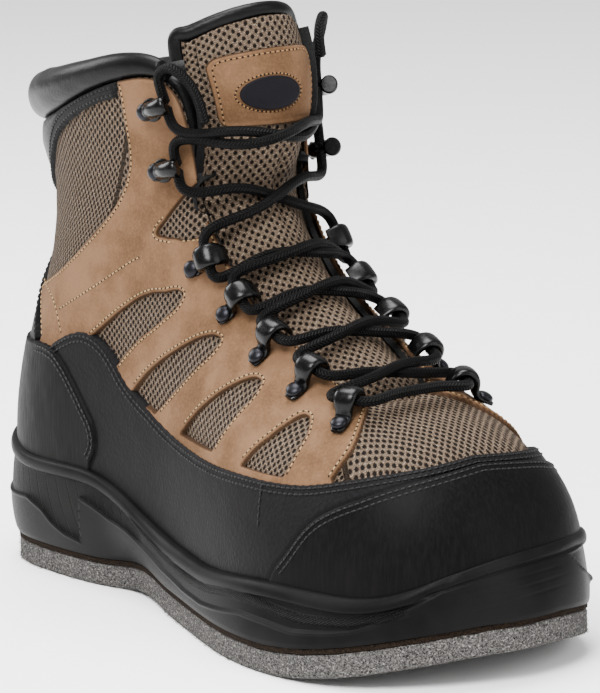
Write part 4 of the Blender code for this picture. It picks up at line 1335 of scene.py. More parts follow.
def inside(outline: Array, s: Array, u: Array) -> Array:
    """True where a point lies in a closed outline: an odd number of edges pass to its right.

    Args:
        outline: rows of station and share.
        s: stations of the points.
        u: their height shares.

    Returns:
        True or false for each point.
    """
    found = np.zeros(s.shape, bool)
    for (a, b), (c, d) in zip(outline, np.roll(outline, -1, axis=0)):
        if b == d:
            continue
        crossing = ((b > u) != (d > u)) & (s < a + (u - b) * (c - a) / (d - b))
        found ^= crossing
    return found


def nearest(points: Array, path: Array, closed: bool = True) -> Array:
    """Distance from points to a chain of straight runs, in whole-array chunks.

    Args:
        points: (n, 3) places.
        path: corners of the chain.
        closed: join its ends.

    Returns:
        Metres, one a point.
    """
    start = path if closed else path[:-1]
    run = (np.roll(path, -1, axis=0) if closed else path[1:]) - start
    size = np.maximum((run ** 2).sum(1), 1e-18)
    result = np.empty(len(points))
    for k in range(0, len(points), 4000):
        away = points[k:k + 4000, None] - start[None]
        t = np.clip((away * run).sum(2) / size, 0, 1)
        gap = away - run * t[..., None]
        result[k:k + 4000] = np.sqrt((gap ** 2).sum(2).min(1))
    return result


@dataclass
class Panel:
    """A flat piece sewn on the upper: an outline with holes, a top height and a rounded edge.

    Its height over the upper is h = sunk outside the outline, and inside it
    h = top - bevel (1 - sqrt(1 - (1 - d / bevel)²)) at a distance d from the edge.
    """

    name: str
    nodes: tuple[str, ...]
    outline: Array
    holes: list[Array]
    top: float
    key: str
    slot: str
    bevel: float = 0.9 * MM
    sunk: float = -0.9 * MM
    pitch: float = 0.8 * MM
    grooves: list[tuple[Array, float]] = field(default_factory=list)
    swell: float = 0.0

    def far(self, form: BootForm, outline: Array, points: Array, s: Array, u: Array) -> Array:
        """Signed distance to an outline: positive inside.

        Args:
            form: the boot's form.
            outline: closed rows of station and share.
            points: places of the grid's points.
            s: their stations.
            u: their height shares.

        Returns:
            Metres from the outline.
        """
        edge = dense(outline)
        signed = np.full(s.shape, -0.004)
        low, high = edge.min(0) - (0.15, 0.03), edge.max(0) + (0.15, 0.03)
        near = (s > low[0]) & (s < high[0]) & (u > low[1]) & (u < high[1])
        distance = nearest(points[near], form.point(edge[:, 0], edge[:, 1]))
        signed[near] = np.where(inside(edge, s[near], u[near]), distance, -distance)
        return signed

    def build(self, form: BootForm, finishes: Finishes) -> Thing:
        """Make the panel.

        Args:
            form: the boot's form.
            finishes: its materials.

        Returns:
            The dressed piece.
        """
        low, high = self.outline.min(0), self.outline.max(0)
        stations = form.stations(low[0] - 0.05, high[0] + 0.05, self.pitch)
        count = int((high[1] - low[1]) * CELL[1] / self.pitch) + 3
        shares = np.linspace(max(low[1] - 0.006, 0.0), min(high[1] + 0.006, 1.0), count)
        s, u = [g.ravel() for g in np.meshgrid(stations, shares, indexing="ij")]
        points, normals = form.surface(s, u)
        d = self.far(form, self.outline, points, s, u)
        for hole in self.holes:
            d = np.minimum(d, -self.far(form, hole, points, s, u))
        t = np.clip(d / self.bevel, 0, 1)
        height = self.top - self.bevel * (1 - np.sqrt(1 - (1 - t) ** 2))
        height = np.where(d < 0, np.maximum(self.top - self.bevel + d * 9, self.sunk), height)
        height += self.swell * (1 - np.exp(-np.clip(d, 0, 1) / 0.006))
        height += uneven(points) * (d > 0)
        for path, depth in self.grooves:
            away = nearest(points, form.point(path[:, 0], path[:, 1]), closed=False)
            height -= depth * np.exp(-(away / (0.55 * MM)) ** 2) * (d > 0)
        places = points + normals * height[:, None]
        quads = grid_faces(len(stations), len(shares))
        kept = (d[quads] > -0.5 * MM).any(1)
        quads = quads[kept]
        used = np.unique(quads)
        renumber = np.full(len(places), -1)
        renumber[used] = np.arange(len(used))
        flat = np.column_stack([form.place(s) * 500, u * 165])[used]
        soup = Soup()
        soup.add(places[used], renumber[quads], 0, flat, d[used] / MM)
        return dress(soup.make(self.name, [finishes[self.key]]), self.slot, *self.nodes)


def shifted(form: BootForm, path: Array, distance: float) -> Array:
    """Move a path of station and share sideways over the upper.

    The sideways step w = n × t times the distance is turned into changes of station and share
    by the surface's first fundamental form.

    Args:
        form: the boot's form.
        path: rows of station and share.
        distance: metres; positive is to the left of the path seen from outside.

    Returns:
        The moved rows.
    """
    if distance == 0:
        return path
    s, u = path.T
    points, normals = form.surface(s, u)
    ds = (form.point(s + 1e-3, u) - form.point(s - 1e-3, u)) / 2e-3
    du = (form.point(s, u + 1e-3) - form.point(s, u - 1e-3)) / 2e-3
    side = np.cross(normals, unit(np.gradient(points, axis=0))) * distance
    e, f, g = (ds * ds).sum(1), (ds * du).sum(1), (du * du).sum(1)
    a, b = (ds * side).sum(1), (du * side).sum(1)
    wide = e * g - f * f
    return path + np.column_stack([(a * g - b * f) / wide, (b * e - a * f) / wide])


@dataclass
class Stitches:
    """Runs of stitches: a small sunk-ended bead every pitch, and a needle hole between, drawn as a dark disc of
    painted shade.
    """

    name: str
    thread: str
    slot: str
    pitch: float = 2.6 * MM
    long: float = 1.85 * MM
    thick: float = 0.36 * MM
    hole: float = 0.46 * MM
    soup: Soup = field(default_factory=Soup)

    def run(self, points: Array, normals: Array) -> None:
        """Add stitches along a path.

        Args:
            points: (n, 3) places on the surface.
            normals: (n, 3) outward directions.
        """
        step = np.linalg.norm(np.diff(points, axis=0), axis=1)
        at = np.concatenate([[0], np.cumsum(step)])
        count = max(2, int(at[-1] / self.pitch))
        centre_at = (np.arange(count) + 0.5) * at[-1] / count
        middle = read_off(centre_at, at, points)
        n = unit(read_off(centre_at, at, normals))
        ahead = read_off(centre_at + 0.3 * MM, at, points)
        t = unit(ahead - middle + 1e-9)
        b = np.cross(n, t)
        angle = circle(6)
        reach = np.array([-1.0, -0.82, -0.3, 0.3, 0.82, 1.0]) * self.long / 2
        size = np.array([0.35, 0.9, 1.0, 1.0, 0.9, 0.35]) * self.thick
        lift = np.array([-0.35, 0.02, 0.30, 0.30, 0.02, -0.35]) * self.thick
        x = np.repeat(reach, 6)
        y = (size[:, None] * np.cos(angle)).ravel()
        z = (size[:, None] * np.sin(angle) * 0.8 + lift[:, None]).ravel()
        bead = middle[:, None] + t[:, None] * x[:, None] + b[:, None] * y[:, None] + n[:, None] * z[:, None]
        quads = np.vstack([grid_faces(6, 6, wrap_columns=True)[:, ::-1],
                           [[0, 1, 2, 3], [0, 3, 4, 5], [33, 32, 31, 30], [35, 34, 33, 30]]])
        offsets = np.arange(count)[:, None, None] * 36
        self.soup.add(bead, (quads[None] + offsets).reshape(-1, 4), 0)
        # Needle holes: dark discs of painted shade, laid just over the surface between the stitches.
        gaps_at = np.arange(count + 1) * at[-1] / count
        hole = read_off(gaps_at, at, points)
        hn = unit(read_off(gaps_at, at, normals))
        hb = unit(np.cross(hn, [0.31, 0.52, 0.79]))
        hc = np.cross(hn, hb)
        ring = circle(6)
        disc = hole[:, None] + hn[:, None] * 0.12 * MM + self.hole * (
            np.cos(ring)[:, None] * hb[:, None] + np.sin(ring)[:, None] * hc[:, None])
        offsets = np.arange(len(hole))[:, None, None] * 6
        self.soup.add(disc, (np.array([[0, 1, 2, 3], [0, 3, 4, 5]])[None] + offsets).reshape(-1, 4), 1)

    def on_upper(self, form: BootForm, path: Array, height: float, inset: float = 0.0) -> None:
        """Add stitches along station and share rows, set sideways by inset, at a height.

        Args:
            form: the boot's form.
            path: rows of station and share.
            height: metres over the upper.
            inset: metres to the left of the path.
        """
        moved = shifted(form, path, inset)
        moved[:, 1] = np.clip(moved[:, 1], 0.0, 0.999)
        points, normals = form.surface(moved[:, 0], moved[:, 1])
        self.run(points + normals * (height + uneven(points))[:, None], normals)

    def finish(self, finishes: Finishes) -> Thing:
        """Make the piece."""
        return dress(self.soup.make(self.name, [finishes[self.thread], finishes["pit"]]), self.slot)


def flip(path: Array, side: Side) -> Array:
    """A path on the asked side of the foot."""
    return path * np.array([side.value, 1.0])


@dataclass
class UpperAssembly:
    """The mesh wall and every panel sewn on it."""

    form: BootForm
    finishes: Finishes
    quarter_top: float = 2.3 * MM
    rand_top: float = 3.0 * MM
    cap_top: float = 4.0 * MM
    seams: Sequence[Rows] = (
        ((8.93, 0.595), (9.58, 0.512), (10.20, 0.460)),
        ((11.20, 0.560), (10.41, 0.480), (10.01, 0.400)),
    )
    rand_seam: Rows = ((3.93, 0.440), (3.95, 0.360), (3.96, 0.290))

    def slot_outline(self, row: Rows) -> Array:
        """Closed outline of one slot: two slanted sides and a round tip.

        Args:
            row: its five corners.

        Returns:
            Rows of station and share.
        """
        rear, middle, tip, foot, front_tip = (np.array(p) for p in row)
        share = np.linspace(-0.12, 1.03, 50)
        width = np.interp(share, [0, 0.6, 0.82, 0.90, 0.96, 1.0, 1.03], [1, 1, 0.99, 0.93, 0.78, 0.5, 0.2])
        s = share[:, None]
        bend = middle - (rear + tip) / 2
        back = rear + (tip - rear) * s + 2 * bend * s * (1 - s)
        front = foot + (front_tip - foot) * s
        centre, half = (back + front) / 2, (back - front) / 2 * width[:, None]
        return np.vstack([centre + half, (centre - half)[::-1]])

    def notch_outline(self) -> Array:
        """Closed outline of the notch under the hooks, its low corner rounded.

        Returns:
            Rows of station and share.
        """
        a, b, c, d = (np.array(p) for p in NOTCH)
        low = np.linspace(0, 1, 12)[:, None]
        corner = (1 - low) ** 2 * (a + 0.25 * (b - a)) + 2 * low * (1 - low) * (a + 0.02) \
            + low ** 2 * (a + 0.35 * (d - a))
        return np.vstack([b, corner, d, c])

    def wall(self) -> Thing:
        """The wall: outer and inner faces of mesh and lining, closed along both edges.

        Returns:
            The dressed piece.
        """
        form = self.form
        around = form.ring(330)[:, None]
        shares = np.linspace(0, 1, 80)[None, :]
        s, u = np.broadcast_arrays(around, shares)
        points, normals = form.surface(s, u)
        puff = 0.5 * MM * rise(0.40, 0.46, u) * (1 - rise(0.94, 1.0, u))
        soft = 0.35 * MM * ripple(points[..., 0], points[..., 2], 3, 0.05)
        outer = points + normals * (puff + soft * rise(0.4, 0.5, u))[..., None]
        inner = points - normals * form.wall
        a = np.abs(s)
        rib = np.cumsum(np.linalg.norm(np.diff(points, axis=1, prepend=points[:, :1]), axis=2), axis=1)
        belt = points[:, 60]
        turn = np.cumsum(np.linalg.norm(np.diff(belt, axis=0, prepend=belt[:1]), axis=1))[:, None]
        across = np.where(a < 2.2, points[..., 1], np.where(a < 9.75, points[..., 0], turn))
        along = np.where(a < 2.2, points[..., 0], rib)
        flat = np.stack([across, along], axis=-1) / MM
        soup = Soup()
        soup.grid(outer, 0, wrap_rows=True, flip=True, flat=flat)
        soup.grid(inner, 1, wrap_rows=True, flat=flat)
        for column, over in ((0, False), (-1, True)):
            edge = np.stack([outer[:, column], inner[:, column]], axis=1)
            soup.grid(edge, 1, wrap_rows=True, flip=over)
        piece = soup.make("upper_wall", [self.finishes["mesh"], self.finishes["lining"]])
        return dress(piece, "upper_mesh", "upper")

    def rim(self, first: float, stop: float, count: int) -> list[tuple[float, float]]:
        """Rows a little under the rim of the cup, from one station to another."""
        return [(s, float(self.form.rim_share(s)) - 0.05) for s in np.linspace(first, stop, count)]

    def panels(self) -> list[Panel]:
        """Every panel, from the lowest layer up.

        Returns:
            The panels, not built yet.
        """
        form, rim = self.form, self.rim
        low = [(a, b - 0.035) for a, b in RAND_TOP[2:]]
        found = []
        for side in Side:
            back = line(QUARTER_BACK, 80)
            front = line(QUARTER_FRONT, 40)
            outline = np.vstack([back, [(9.88, 1.0), (1.40, 1.0)], front[::-1], low, [(10.57, 0.35)]])
            holes = [self.slot_outline(row) for row in SLOTS] + [self.notch_outline()]
            label = side.name.lower()
            found.append(Panel("quarter_panel_" + label, ("quarter_" + label,), flip(outline, side),
                               [flip(h, side) for h in holes], self.quarter_top, "nubuck", "nubuck"))
        top = line(RAND_TOP, 120)
        top = np.vstack([top[::-1], (top * (-1, 1))[1:]])
        rand = np.vstack([top, [(-10.19, 0.30)], rim(-9.6, 9.6, 70), [(10.19, 0.30)]])
        cap, edge = line(TOE_CAP_EDGE, 70), line(COUNTER_EDGE, 60)
        creases = [(flip(shifted(form, rows, 0.5 * MM * way), side), 0.7 * MM)
                   for rows, way in ((cap, 1), (edge, -1)) for side in Side]
        found.append(Panel("rand_panel", ("rand",), rand, [], self.rand_top, "rand", "rand_rubber",
                           grooves=creases))
        cap = np.vstack([cap, (cap * (-1, 1))[-2::-1]])
        cap = np.vstack([cap, rim(-3.80, 3.80, 40)])
        found.append(Panel("toe_cap_panel", ("toe_cap",), cap, [], self.cap_top, "cap", "cap_rubber",
                           swell=0.4 * MM))
        crown = line([(10.57, 0.378), (11.8, 0.392), (13.0, 0.400), (14.2, 0.392), (15.43, 0.378)], 40)
        far = np.column_stack([form.turn - edge[::-1, 0], edge[::-1, 1]])
        floor = [(form.turn - a, b) for a, b in rim(8.80, 13.0, 20)] + rim(12.8, 8.80, 20)
        counter = np.vstack([edge, crown[1:-1], far, floor])
        found.append(Panel("counter_panel", ("heel_counter",), counter, [], self.cap_top, "cap",
                           "cap_rubber"))
        strip = line(STRIP_EDGE, 30)
        far = np.column_stack([form.turn - strip[::-1, 0], strip[::-1, 1]])
        strip = np.vstack([strip, far, [(15.25, 0.35), (10.75, 0.35)]])
        found.append(Panel("heel_strip_panel", ("heel_strip",), strip, [], 2.6 * MM, "cap", "cap_rubber"))
        band = line(BAND_LOW, 40)
        lower = np.vstack([band, np.column_stack([form.turn - band[-2::-1, 0], band[-2::-1, 1]])])
        upper = np.column_stack([lower[:, 0], np.minimum(lower[:, 1] + 0.045, 1.0)])
        found.append(Panel("collar_band_panel", ("collar_band",), np.vstack([lower, upper[::-1]]), [],
                           2.0 * MM, "webbing", "trim_webbing"))
        pad = np.vstack([np.column_stack([lower[:, 0], np.minimum(lower[:, 1] + 0.030, 0.992)]),
                         [(form.turn - 9.94, 1.0), (9.94, 1.0)]])
        found.append(Panel("collar_pad_panel", ("collar_pad",), pad, [], 1.4 * MM, "leather",
                           "collar_leather", swell=3.2 * MM))
        return found

    def stitches(self) -> None:
        """The stitch rows of both sides, by thread."""
        form = self.form
        cream = Stitches("quarter_stitches", "cream", "nubuck", 2.4 * MM, 1.55 * MM, 0.32 * MM)
        black = Stitches("rand_stitches", "black", "rand_rubber", 2.7 * MM, 2.2 * MM, 0.46 * MM, 0.4 * MM)
        grey = Stitches("cap_stitches", "grey", "cap_rubber", 2.7 * MM, 2.1 * MM, 0.42 * MM, 0.4 * MM)
        for side in Side:
            sign = side.value
            tops = self.quarter_top
            inset = 1.6 * MM * sign
            for row in SLOTS:
                cream.on_upper(form, flip(self.slot_outline(row)[4:-4], side), tops, inset)
            cream.on_upper(form, flip(line(QUARTER_BACK, 80), side), tops, -inset)
            cream.on_upper(form, flip(line(QUARTER_FRONT, 40), side), tops, inset)
            cream.on_upper(form, flip(self.notch_outline()[:-1], side), tops, -inset)
            edge = np.column_stack([np.linspace(1.6, 7.4, 80), np.full(80, 0.985)])
            cream.on_upper(form, flip(edge, side), tops, 0.0)
            for seam in self.seams:
                cream.on_upper(form, flip(line(seam, 30), side), tops)
            black.on_upper(form, flip(line(self.rand_seam, 20), side), self.rand_top)
            for inset in (1.7 * MM, 3.9 * MM):
                grey.on_upper(form, flip(line(TOE_CAP_EDGE[1:], 60), side), self.cap_top + 0.1 * MM,
                              -inset * sign)
                grey.on_upper(form, flip(line(COUNTER_EDGE, 60), side), self.cap_top, inset * sign)
                black.on_upper(form, flip(line(RAND_TOP, 120), side), self.rand_top, inset * sign)
            strip = line(STRIP_EDGE, 30)
            grey.on_upper(form, flip(strip, side), 2.6 * MM, 1.8 * MM * sign)
            band = line(BAND_LOW, 60)
            for inset in (1.4 * MM, 4.4 * MM):
                black.on_upper(form, flip(band, side), 2.0 * MM, -inset * sign)
        for row in (cream, black, grey):
            row.finish(self.finishes)

    def build(self) -> None:
        """Make the wall, the panels and the stitches."""
        self.wall()
        for panel in self.panels():
            panel.build(self.form, self.finishes)
        self.stitches()


# Sole


@dataclass
class SoleAssembly:
    """Felt, its board and the moulded cup."""

    form: BootForm
    finishes: Finishes
    rim: float = 0.0042
    roll: float = 0.0058
    step: float = 0.0004
    count: int = 760

    def edge(self, station: Array, out: Array, height: Array) -> Array:
        """The sole's outline at stations, set out level, at given heights.

        Args:
            station: station numbers.
            out: metres outward.
            height: heights.

        Returns:
            The points.
        """
        where = self.form.place(station)
        row = self.form.cache["sole"](where)
        flat = np.concatenate([row[..., :2], np.zeros(row.shape[:-1] + (1,))], axis=-1)
        points = flat + self.form.outward("sole", where) * np.asarray(out)[..., None]
        points[..., 2] = height
        return points

    def ladder(self, soup: Soup, loop: Array, slot: int, up: bool) -> None:
        """Close a loop round the foot with strips from side to side.

        Args:
            soup: where it goes.
            loop: points round the foot.
            slot: material slot.
            up: face upward.
        """
        half = len(loop) // 2
        left, right = loop[:half + 1], np.vstack([loop[:1], loop[:half - 1:-1]])
        share = np.linspace(0, 1, 9)[None, :, None]
        sheet = left[:, None] * (1 - share) + right[:, None] * share
        soup.grid(sheet, slot, flip=up)

    def felt(self) -> Thing:
        """The felt: a ragged lower edge, a flat underside and loose hairs.

        Returns:
            The dressed piece.
        """
        form = self.form
        station = form.ring(self.count)
        base = self.edge(station, np.zeros(self.count), 0.0)
        x = base[:, 0]
        levels = np.array([0.0, 0.0, 0.04, 0.10, 0.2, 0.32, 0.45, 0.58, 0.7, 0.82, 0.92, 1.0, 1.0])
        pull = np.array([-1.4, -0.5, -0.1, 0.15, 0.1, 0.0, 0.0, 0.0, 0.0, 0.0, -0.05, -0.3, -1.2]) * MM
        path = form.place(station)
        loops = []
        for level, inset in zip(levels, pull):
            rough = ripple(path, np.full_like(path, level * form.felt), 11, 0.004)
            out = inset + 0.22 * MM * rough * (0.02 < level < 0.98)
            loops.append(self.edge(station, out, form.ground(x) + level * form.felt))
        soup = Soup()
        soup.grid(np.array(loops), 0, wrap_columns=True, flip=True)
        self.ladder(soup, loops[0], 0, False)
        self.ladder(soup, loops[-1], 0, True)
        self.hairs(soup)
        return dress(soup.make("felt_outsole", [self.finishes["felt"]]), "felt", "felt_sole")

    def hairs(self, soup: Soup, count: int = 5200) -> None:
        """Loose felt hairs: thin bent strips from the lower edge outward, none below the ground.

        Args:
            soup: where they go.
            count: how many.
        """
        pick = np.random.default_rng(21)
        form = self.form
        where = pick.uniform(0, form.cache["path"][-1], count)
        station = np.interp(where, form.cache["path"], np.arange(form.turn + 1))
        level = pick.uniform(0, 1, count) ** 2.2 * form.felt
        root = self.edge(station, np.full(count, -0.1 * MM), 0.0)
        root[:, 2] = form.ground(root[:, 0]) + level
        out = form.outward("sole", form.place(station))
        along = np.cross(out, UP)
        long = pick.uniform(0.5, 1.5, count)[:, None] * MM
        lean = along * pick.normal(0, 1.0, count)[:, None]
        droop = UP * pick.normal(-0.1, 0.5, count)[:, None]
        middle = root + (out * 0.6 + lean * 0.5 + droop * 0.3) * long * 0.6
        tip = root + (out * 0.8 + lean + droop) * long
        for p in (middle, tip):
            p[:, 2] = np.maximum(p[:, 2], form.ground(p[:, 0]) + 0.05 * MM)
        wide = np.cross(out, unit(tip - root)) * 0.07 * MM
        strip = np.stack([root - wide, root + wide, middle + wide, middle - wide, tip + wide * 0.3,
                          tip - wide * 0.3], axis=1)
        quads = np.array([[0, 1, 2, 3], [3, 2, 4, 5]])[None] + np.arange(count)[:, None, None] * 6
        soup.add(strip, quads.reshape(-1, 4), 0)

    def side_levels(self) -> tuple[Array, Array, Array, Array]:
        """Lines round the cup.

        Returns:
            Stations, and points of its foot, its lip and the upper beside the lip.
        """
        form = self.form
        station = form.ring(self.count)
        where = form.place(station)
        foot = self.edge(station, np.full(self.count, 0.8 * MM), 0.0)
        foot[:, 2] = form.sole_top(foot[:, 0]) + form.gap
        share = form.rim_share(station)
        inner = form.point(station, share, form.gap)
        lip = inner + form.outward("foot", where) * self.rim
        return station, foot, lip, inner

    def cup(self) -> Thing:
        """The cup: its side with the moulded relief, the rim and the inner wall.

        The side is foot + (lip - foot) t, pushed out by the flare sin(pi t^0.8) and the relief.

        Returns:
            The dressed piece.
        """
        form = self.form
        station, foot, lip, inner = self.side_levels()
        where = form.place(station)
        out = form.outward("foot", where)
        flare = form.cache["sole"](where)[:, 3:4]
        t = np.linspace(0, 1, 92)[:, None]
        z = foot[:, 2] + (lip[:, 2] - foot[:, 2]) * t
        part = np.broadcast_to(t, z.shape)
        push, zone = self.relief(station, z, foot[:, 2], lip[:, 2])
        loops = foot + (lip - foot) * part[..., None]
        loops = loops + out * (push[..., None] + flare * np.sin(np.pi * part[..., None] ** 0.8))
        loops[..., 2] = z
        top = [lip - out * 0.5 * MM + [0, 0, 0.25 * MM], lip - out * 1.8 * MM + [0, 0, 0.2 * MM], inner]
        share = form.rim_share(station)
        wall = [form.point(station, share * d, form.gap) for d in (0.8, 0.5, 0.2, 0.0)]
        loops = np.concatenate([loops, top, wall])
        zone = np.concatenate([zone, np.zeros((len(top) + len(wall), self.count))])
        around = np.broadcast_to(where / MM * 0.5, zone.shape)
        flat = np.stack([around, loops[..., 2] / MM], axis=-1)
        soup = Soup()
        soup.grid(loops, 0, wrap_columns=True, flip=True, flat=flat, edge=zone)
        self.ladder(soup, loops[0], 0, False)
        self.ladder(soup, loops[-1], 0, True)
        return dress(soup.make("cup_rubber_sole", [self.finishes["cup"]]), "cup_rubber", "cup_sole")

    def relief(self, station: Array, z: Array, foot: Array, lip: Array) -> tuple[Array, Array]:
        """Moulded relief of the cup's side.

        Up to the crest the body stands out and ends in a raised line; over it the band is sunk,
        with a half ellipse for the stripe and another for the rim's roll. Round the toe the
        body reaches the rim, the roll fades and soft grooves run across.

        Args:
            station: stations round the cup.
            z: heights, one row per level.
            foot: height of the cup's lower edge at each station.
            lip: height of its rim.

        Returns:
            The push outward, and the texture value: 1 for lozenges, up to 2 with ribs.
        """
        away, shaft = np.abs(station), self.form.shaft
        ridge, stripe = (np.interp(away, *np.array(rows).T) * shaft for rows in (RIDGE, STRIPE))
        side = rise(1.15, 1.65, away)
        roll_low = lip - self.roll
        crest = np.clip(ridge, foot + 2.5 * MM, roll_low * side + (lip - 0.3 * MM) * (1 - side))
        over = z - crest
        body = 0.28 * MM * rise(0, 2.2 * MM, z - foot) * (1 - rise(-0.2 * MM, 0.7 * MM, over))
        line_up = 0.45 * MM * np.exp(-((over + 0.5 * MM) / (0.55 * MM)) ** 2) * rise(1.0, 1.3, away)
        in_band = rise(0.1 * MM, 0.9 * MM, over) * (1 - rise(-0.7 * MM, 0.3 * MM, z - roll_low))
        q = np.clip((z - roll_low) / self.roll, 0, 1)
        bead = 1.7 * MM * np.sqrt(np.clip(1 - (2 * q - 1) ** 2, 0, 1)) * side
        along = rise(1.5, 1.9, away) * (1 - rise(7.3, 7.7, away))
        on_stripe = np.clip(1 - ((z - stripe) / (1.75 * MM)) ** 2, 0, 1) * along
        heel = rise(7.3, 8.0, away)
        toe = (1 - side) * (0.45 * MM + 0.35 * MM * np.exp(-((z - lip + 1.9 * MM) / (1.5 * MM)) ** 2))
        for drop, depth in ((4.4, 0.75), (8.6, 0.30), (12.4, 0.30), (16.0, 0.22)):
            fade = (1 - side) if drop < 5 else 1 - rise(0.1, 0.95, away)
            toe -= depth * MM * np.exp(-((z - lip + drop * MM) / (0.6 * MM)) ** 2) * fade
        push = body + line_up - self.step * in_band + bead + 1.05 * MM * np.sqrt(on_stripe) + toe
        zone = np.maximum(rise(0.02, 0.3, on_stripe), in_band * heel * 2)
        return push, zone

    def build(self, nodes: dict[str, Thing]) -> None:
        """Make the felt and the cup, and dress the board and the footbed.

        Args:
            nodes: the CAD nodes by name.
        """
        self.felt()
        self.cup()
        for name, key in (("felt_board", "board"), ("insole", "footbed")):
            nodes[name].data.materials.clear()
            nodes[name].data.materials.append(self.finishes[key])


# Collar


@dataclass
class Collar:
    """The padded roll on the shaft's top edge and its tail down each side of the throat."""

    form: BootForm
    finishes: Finishes
    pleats: Rows = ((10.3, 0.25), (11.3, 0.30), (12.3, 0.45), (13.4, 0.30), (14.4, 0.35), (15.5, 0.30))

    def build(self) -> Thing:
        """Make the roll: an ellipse carried along the edge, with soft pleats across it.

        Returns:
            The dressed piece.
        """
        form = self.form
        rows = np.array(COLLAR)
        half = np.interp(np.linspace(0, 1, 150), np.linspace(0, 1, len(rows)), rows[:, 0])
        stations = np.concatenate([half, form.turn - half[-2::-1]])
        near = np.minimum(stations, form.turn - stations)
        wide, tall, shift = (np.interp(near, rows[:, 0], rows[:, c])[:, None] * form.ball for c in (1, 2, 3))
        top = form.point(stations, 1.0, -form.wall / 2)
        out = form.outward("foot", form.place(stations))
        centre = top + UP * (tall + form.gap) + out * shift
        angle = circle(44)
        swell = 1 - 0.05 * np.cos(2 * angle)
        pleat = np.zeros(len(stations))
        for at, depth in self.pleats:
            pleat += depth * MM * np.exp(-((stations - at) / 0.22) ** 2)
        size = swell[None] - (pleat[:, None] / wide) * (0.6 + 0.4 * np.cos(angle))[None]
        size += 0.006 * ripple(top[:, :1], angle[None] * 0.02, 8, 0.05)
        loops = centre[:, None] + out[:, None] * (wide * np.cos(angle) * size)[..., None] \
            + UP * (tall * np.sin(angle) * size)[..., None]
        soup = Soup()
        soup.tube(loops)
        for side in Side:
            self.tail(soup, side)
        piece = soup.make("collar_leather_roll", [self.finishes["leather"]])
        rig.padded(dress(piece, "collar_leather", "collar_roll"), 0.8)
        return piece

    def tail(self, soup: Soup, side: Side) -> None:
        """Add the padded edge that runs from the roll down inside the throat.

        Args:
            soup: where it goes.
            side: side of the foot.
        """
        form = self.form
        station = side.value * np.linspace(9.2, 8.3, 46)
        share = np.linspace(0, 1, 46)
        radius = np.interp(share, [0, 0.15, 0.8, 1], [2.6, 3.1, 2.7, 1.0])[:, None] * MM
        top, normal = form.surface(station, np.full(46, 0.995))
        centre = top - normal * (form.wall + 1.4 * MM) + [0, 0, 0.8 * MM]
        first, second = frames(centre)
        angle = circle(18)
        loops = centre[:, None] + radius[..., None] * (
            np.cos(angle)[None, :, None] * first[:, None] + np.sin(angle)[None, :, None] * second[:, None])
        soup.tube(loops)


# Tongue


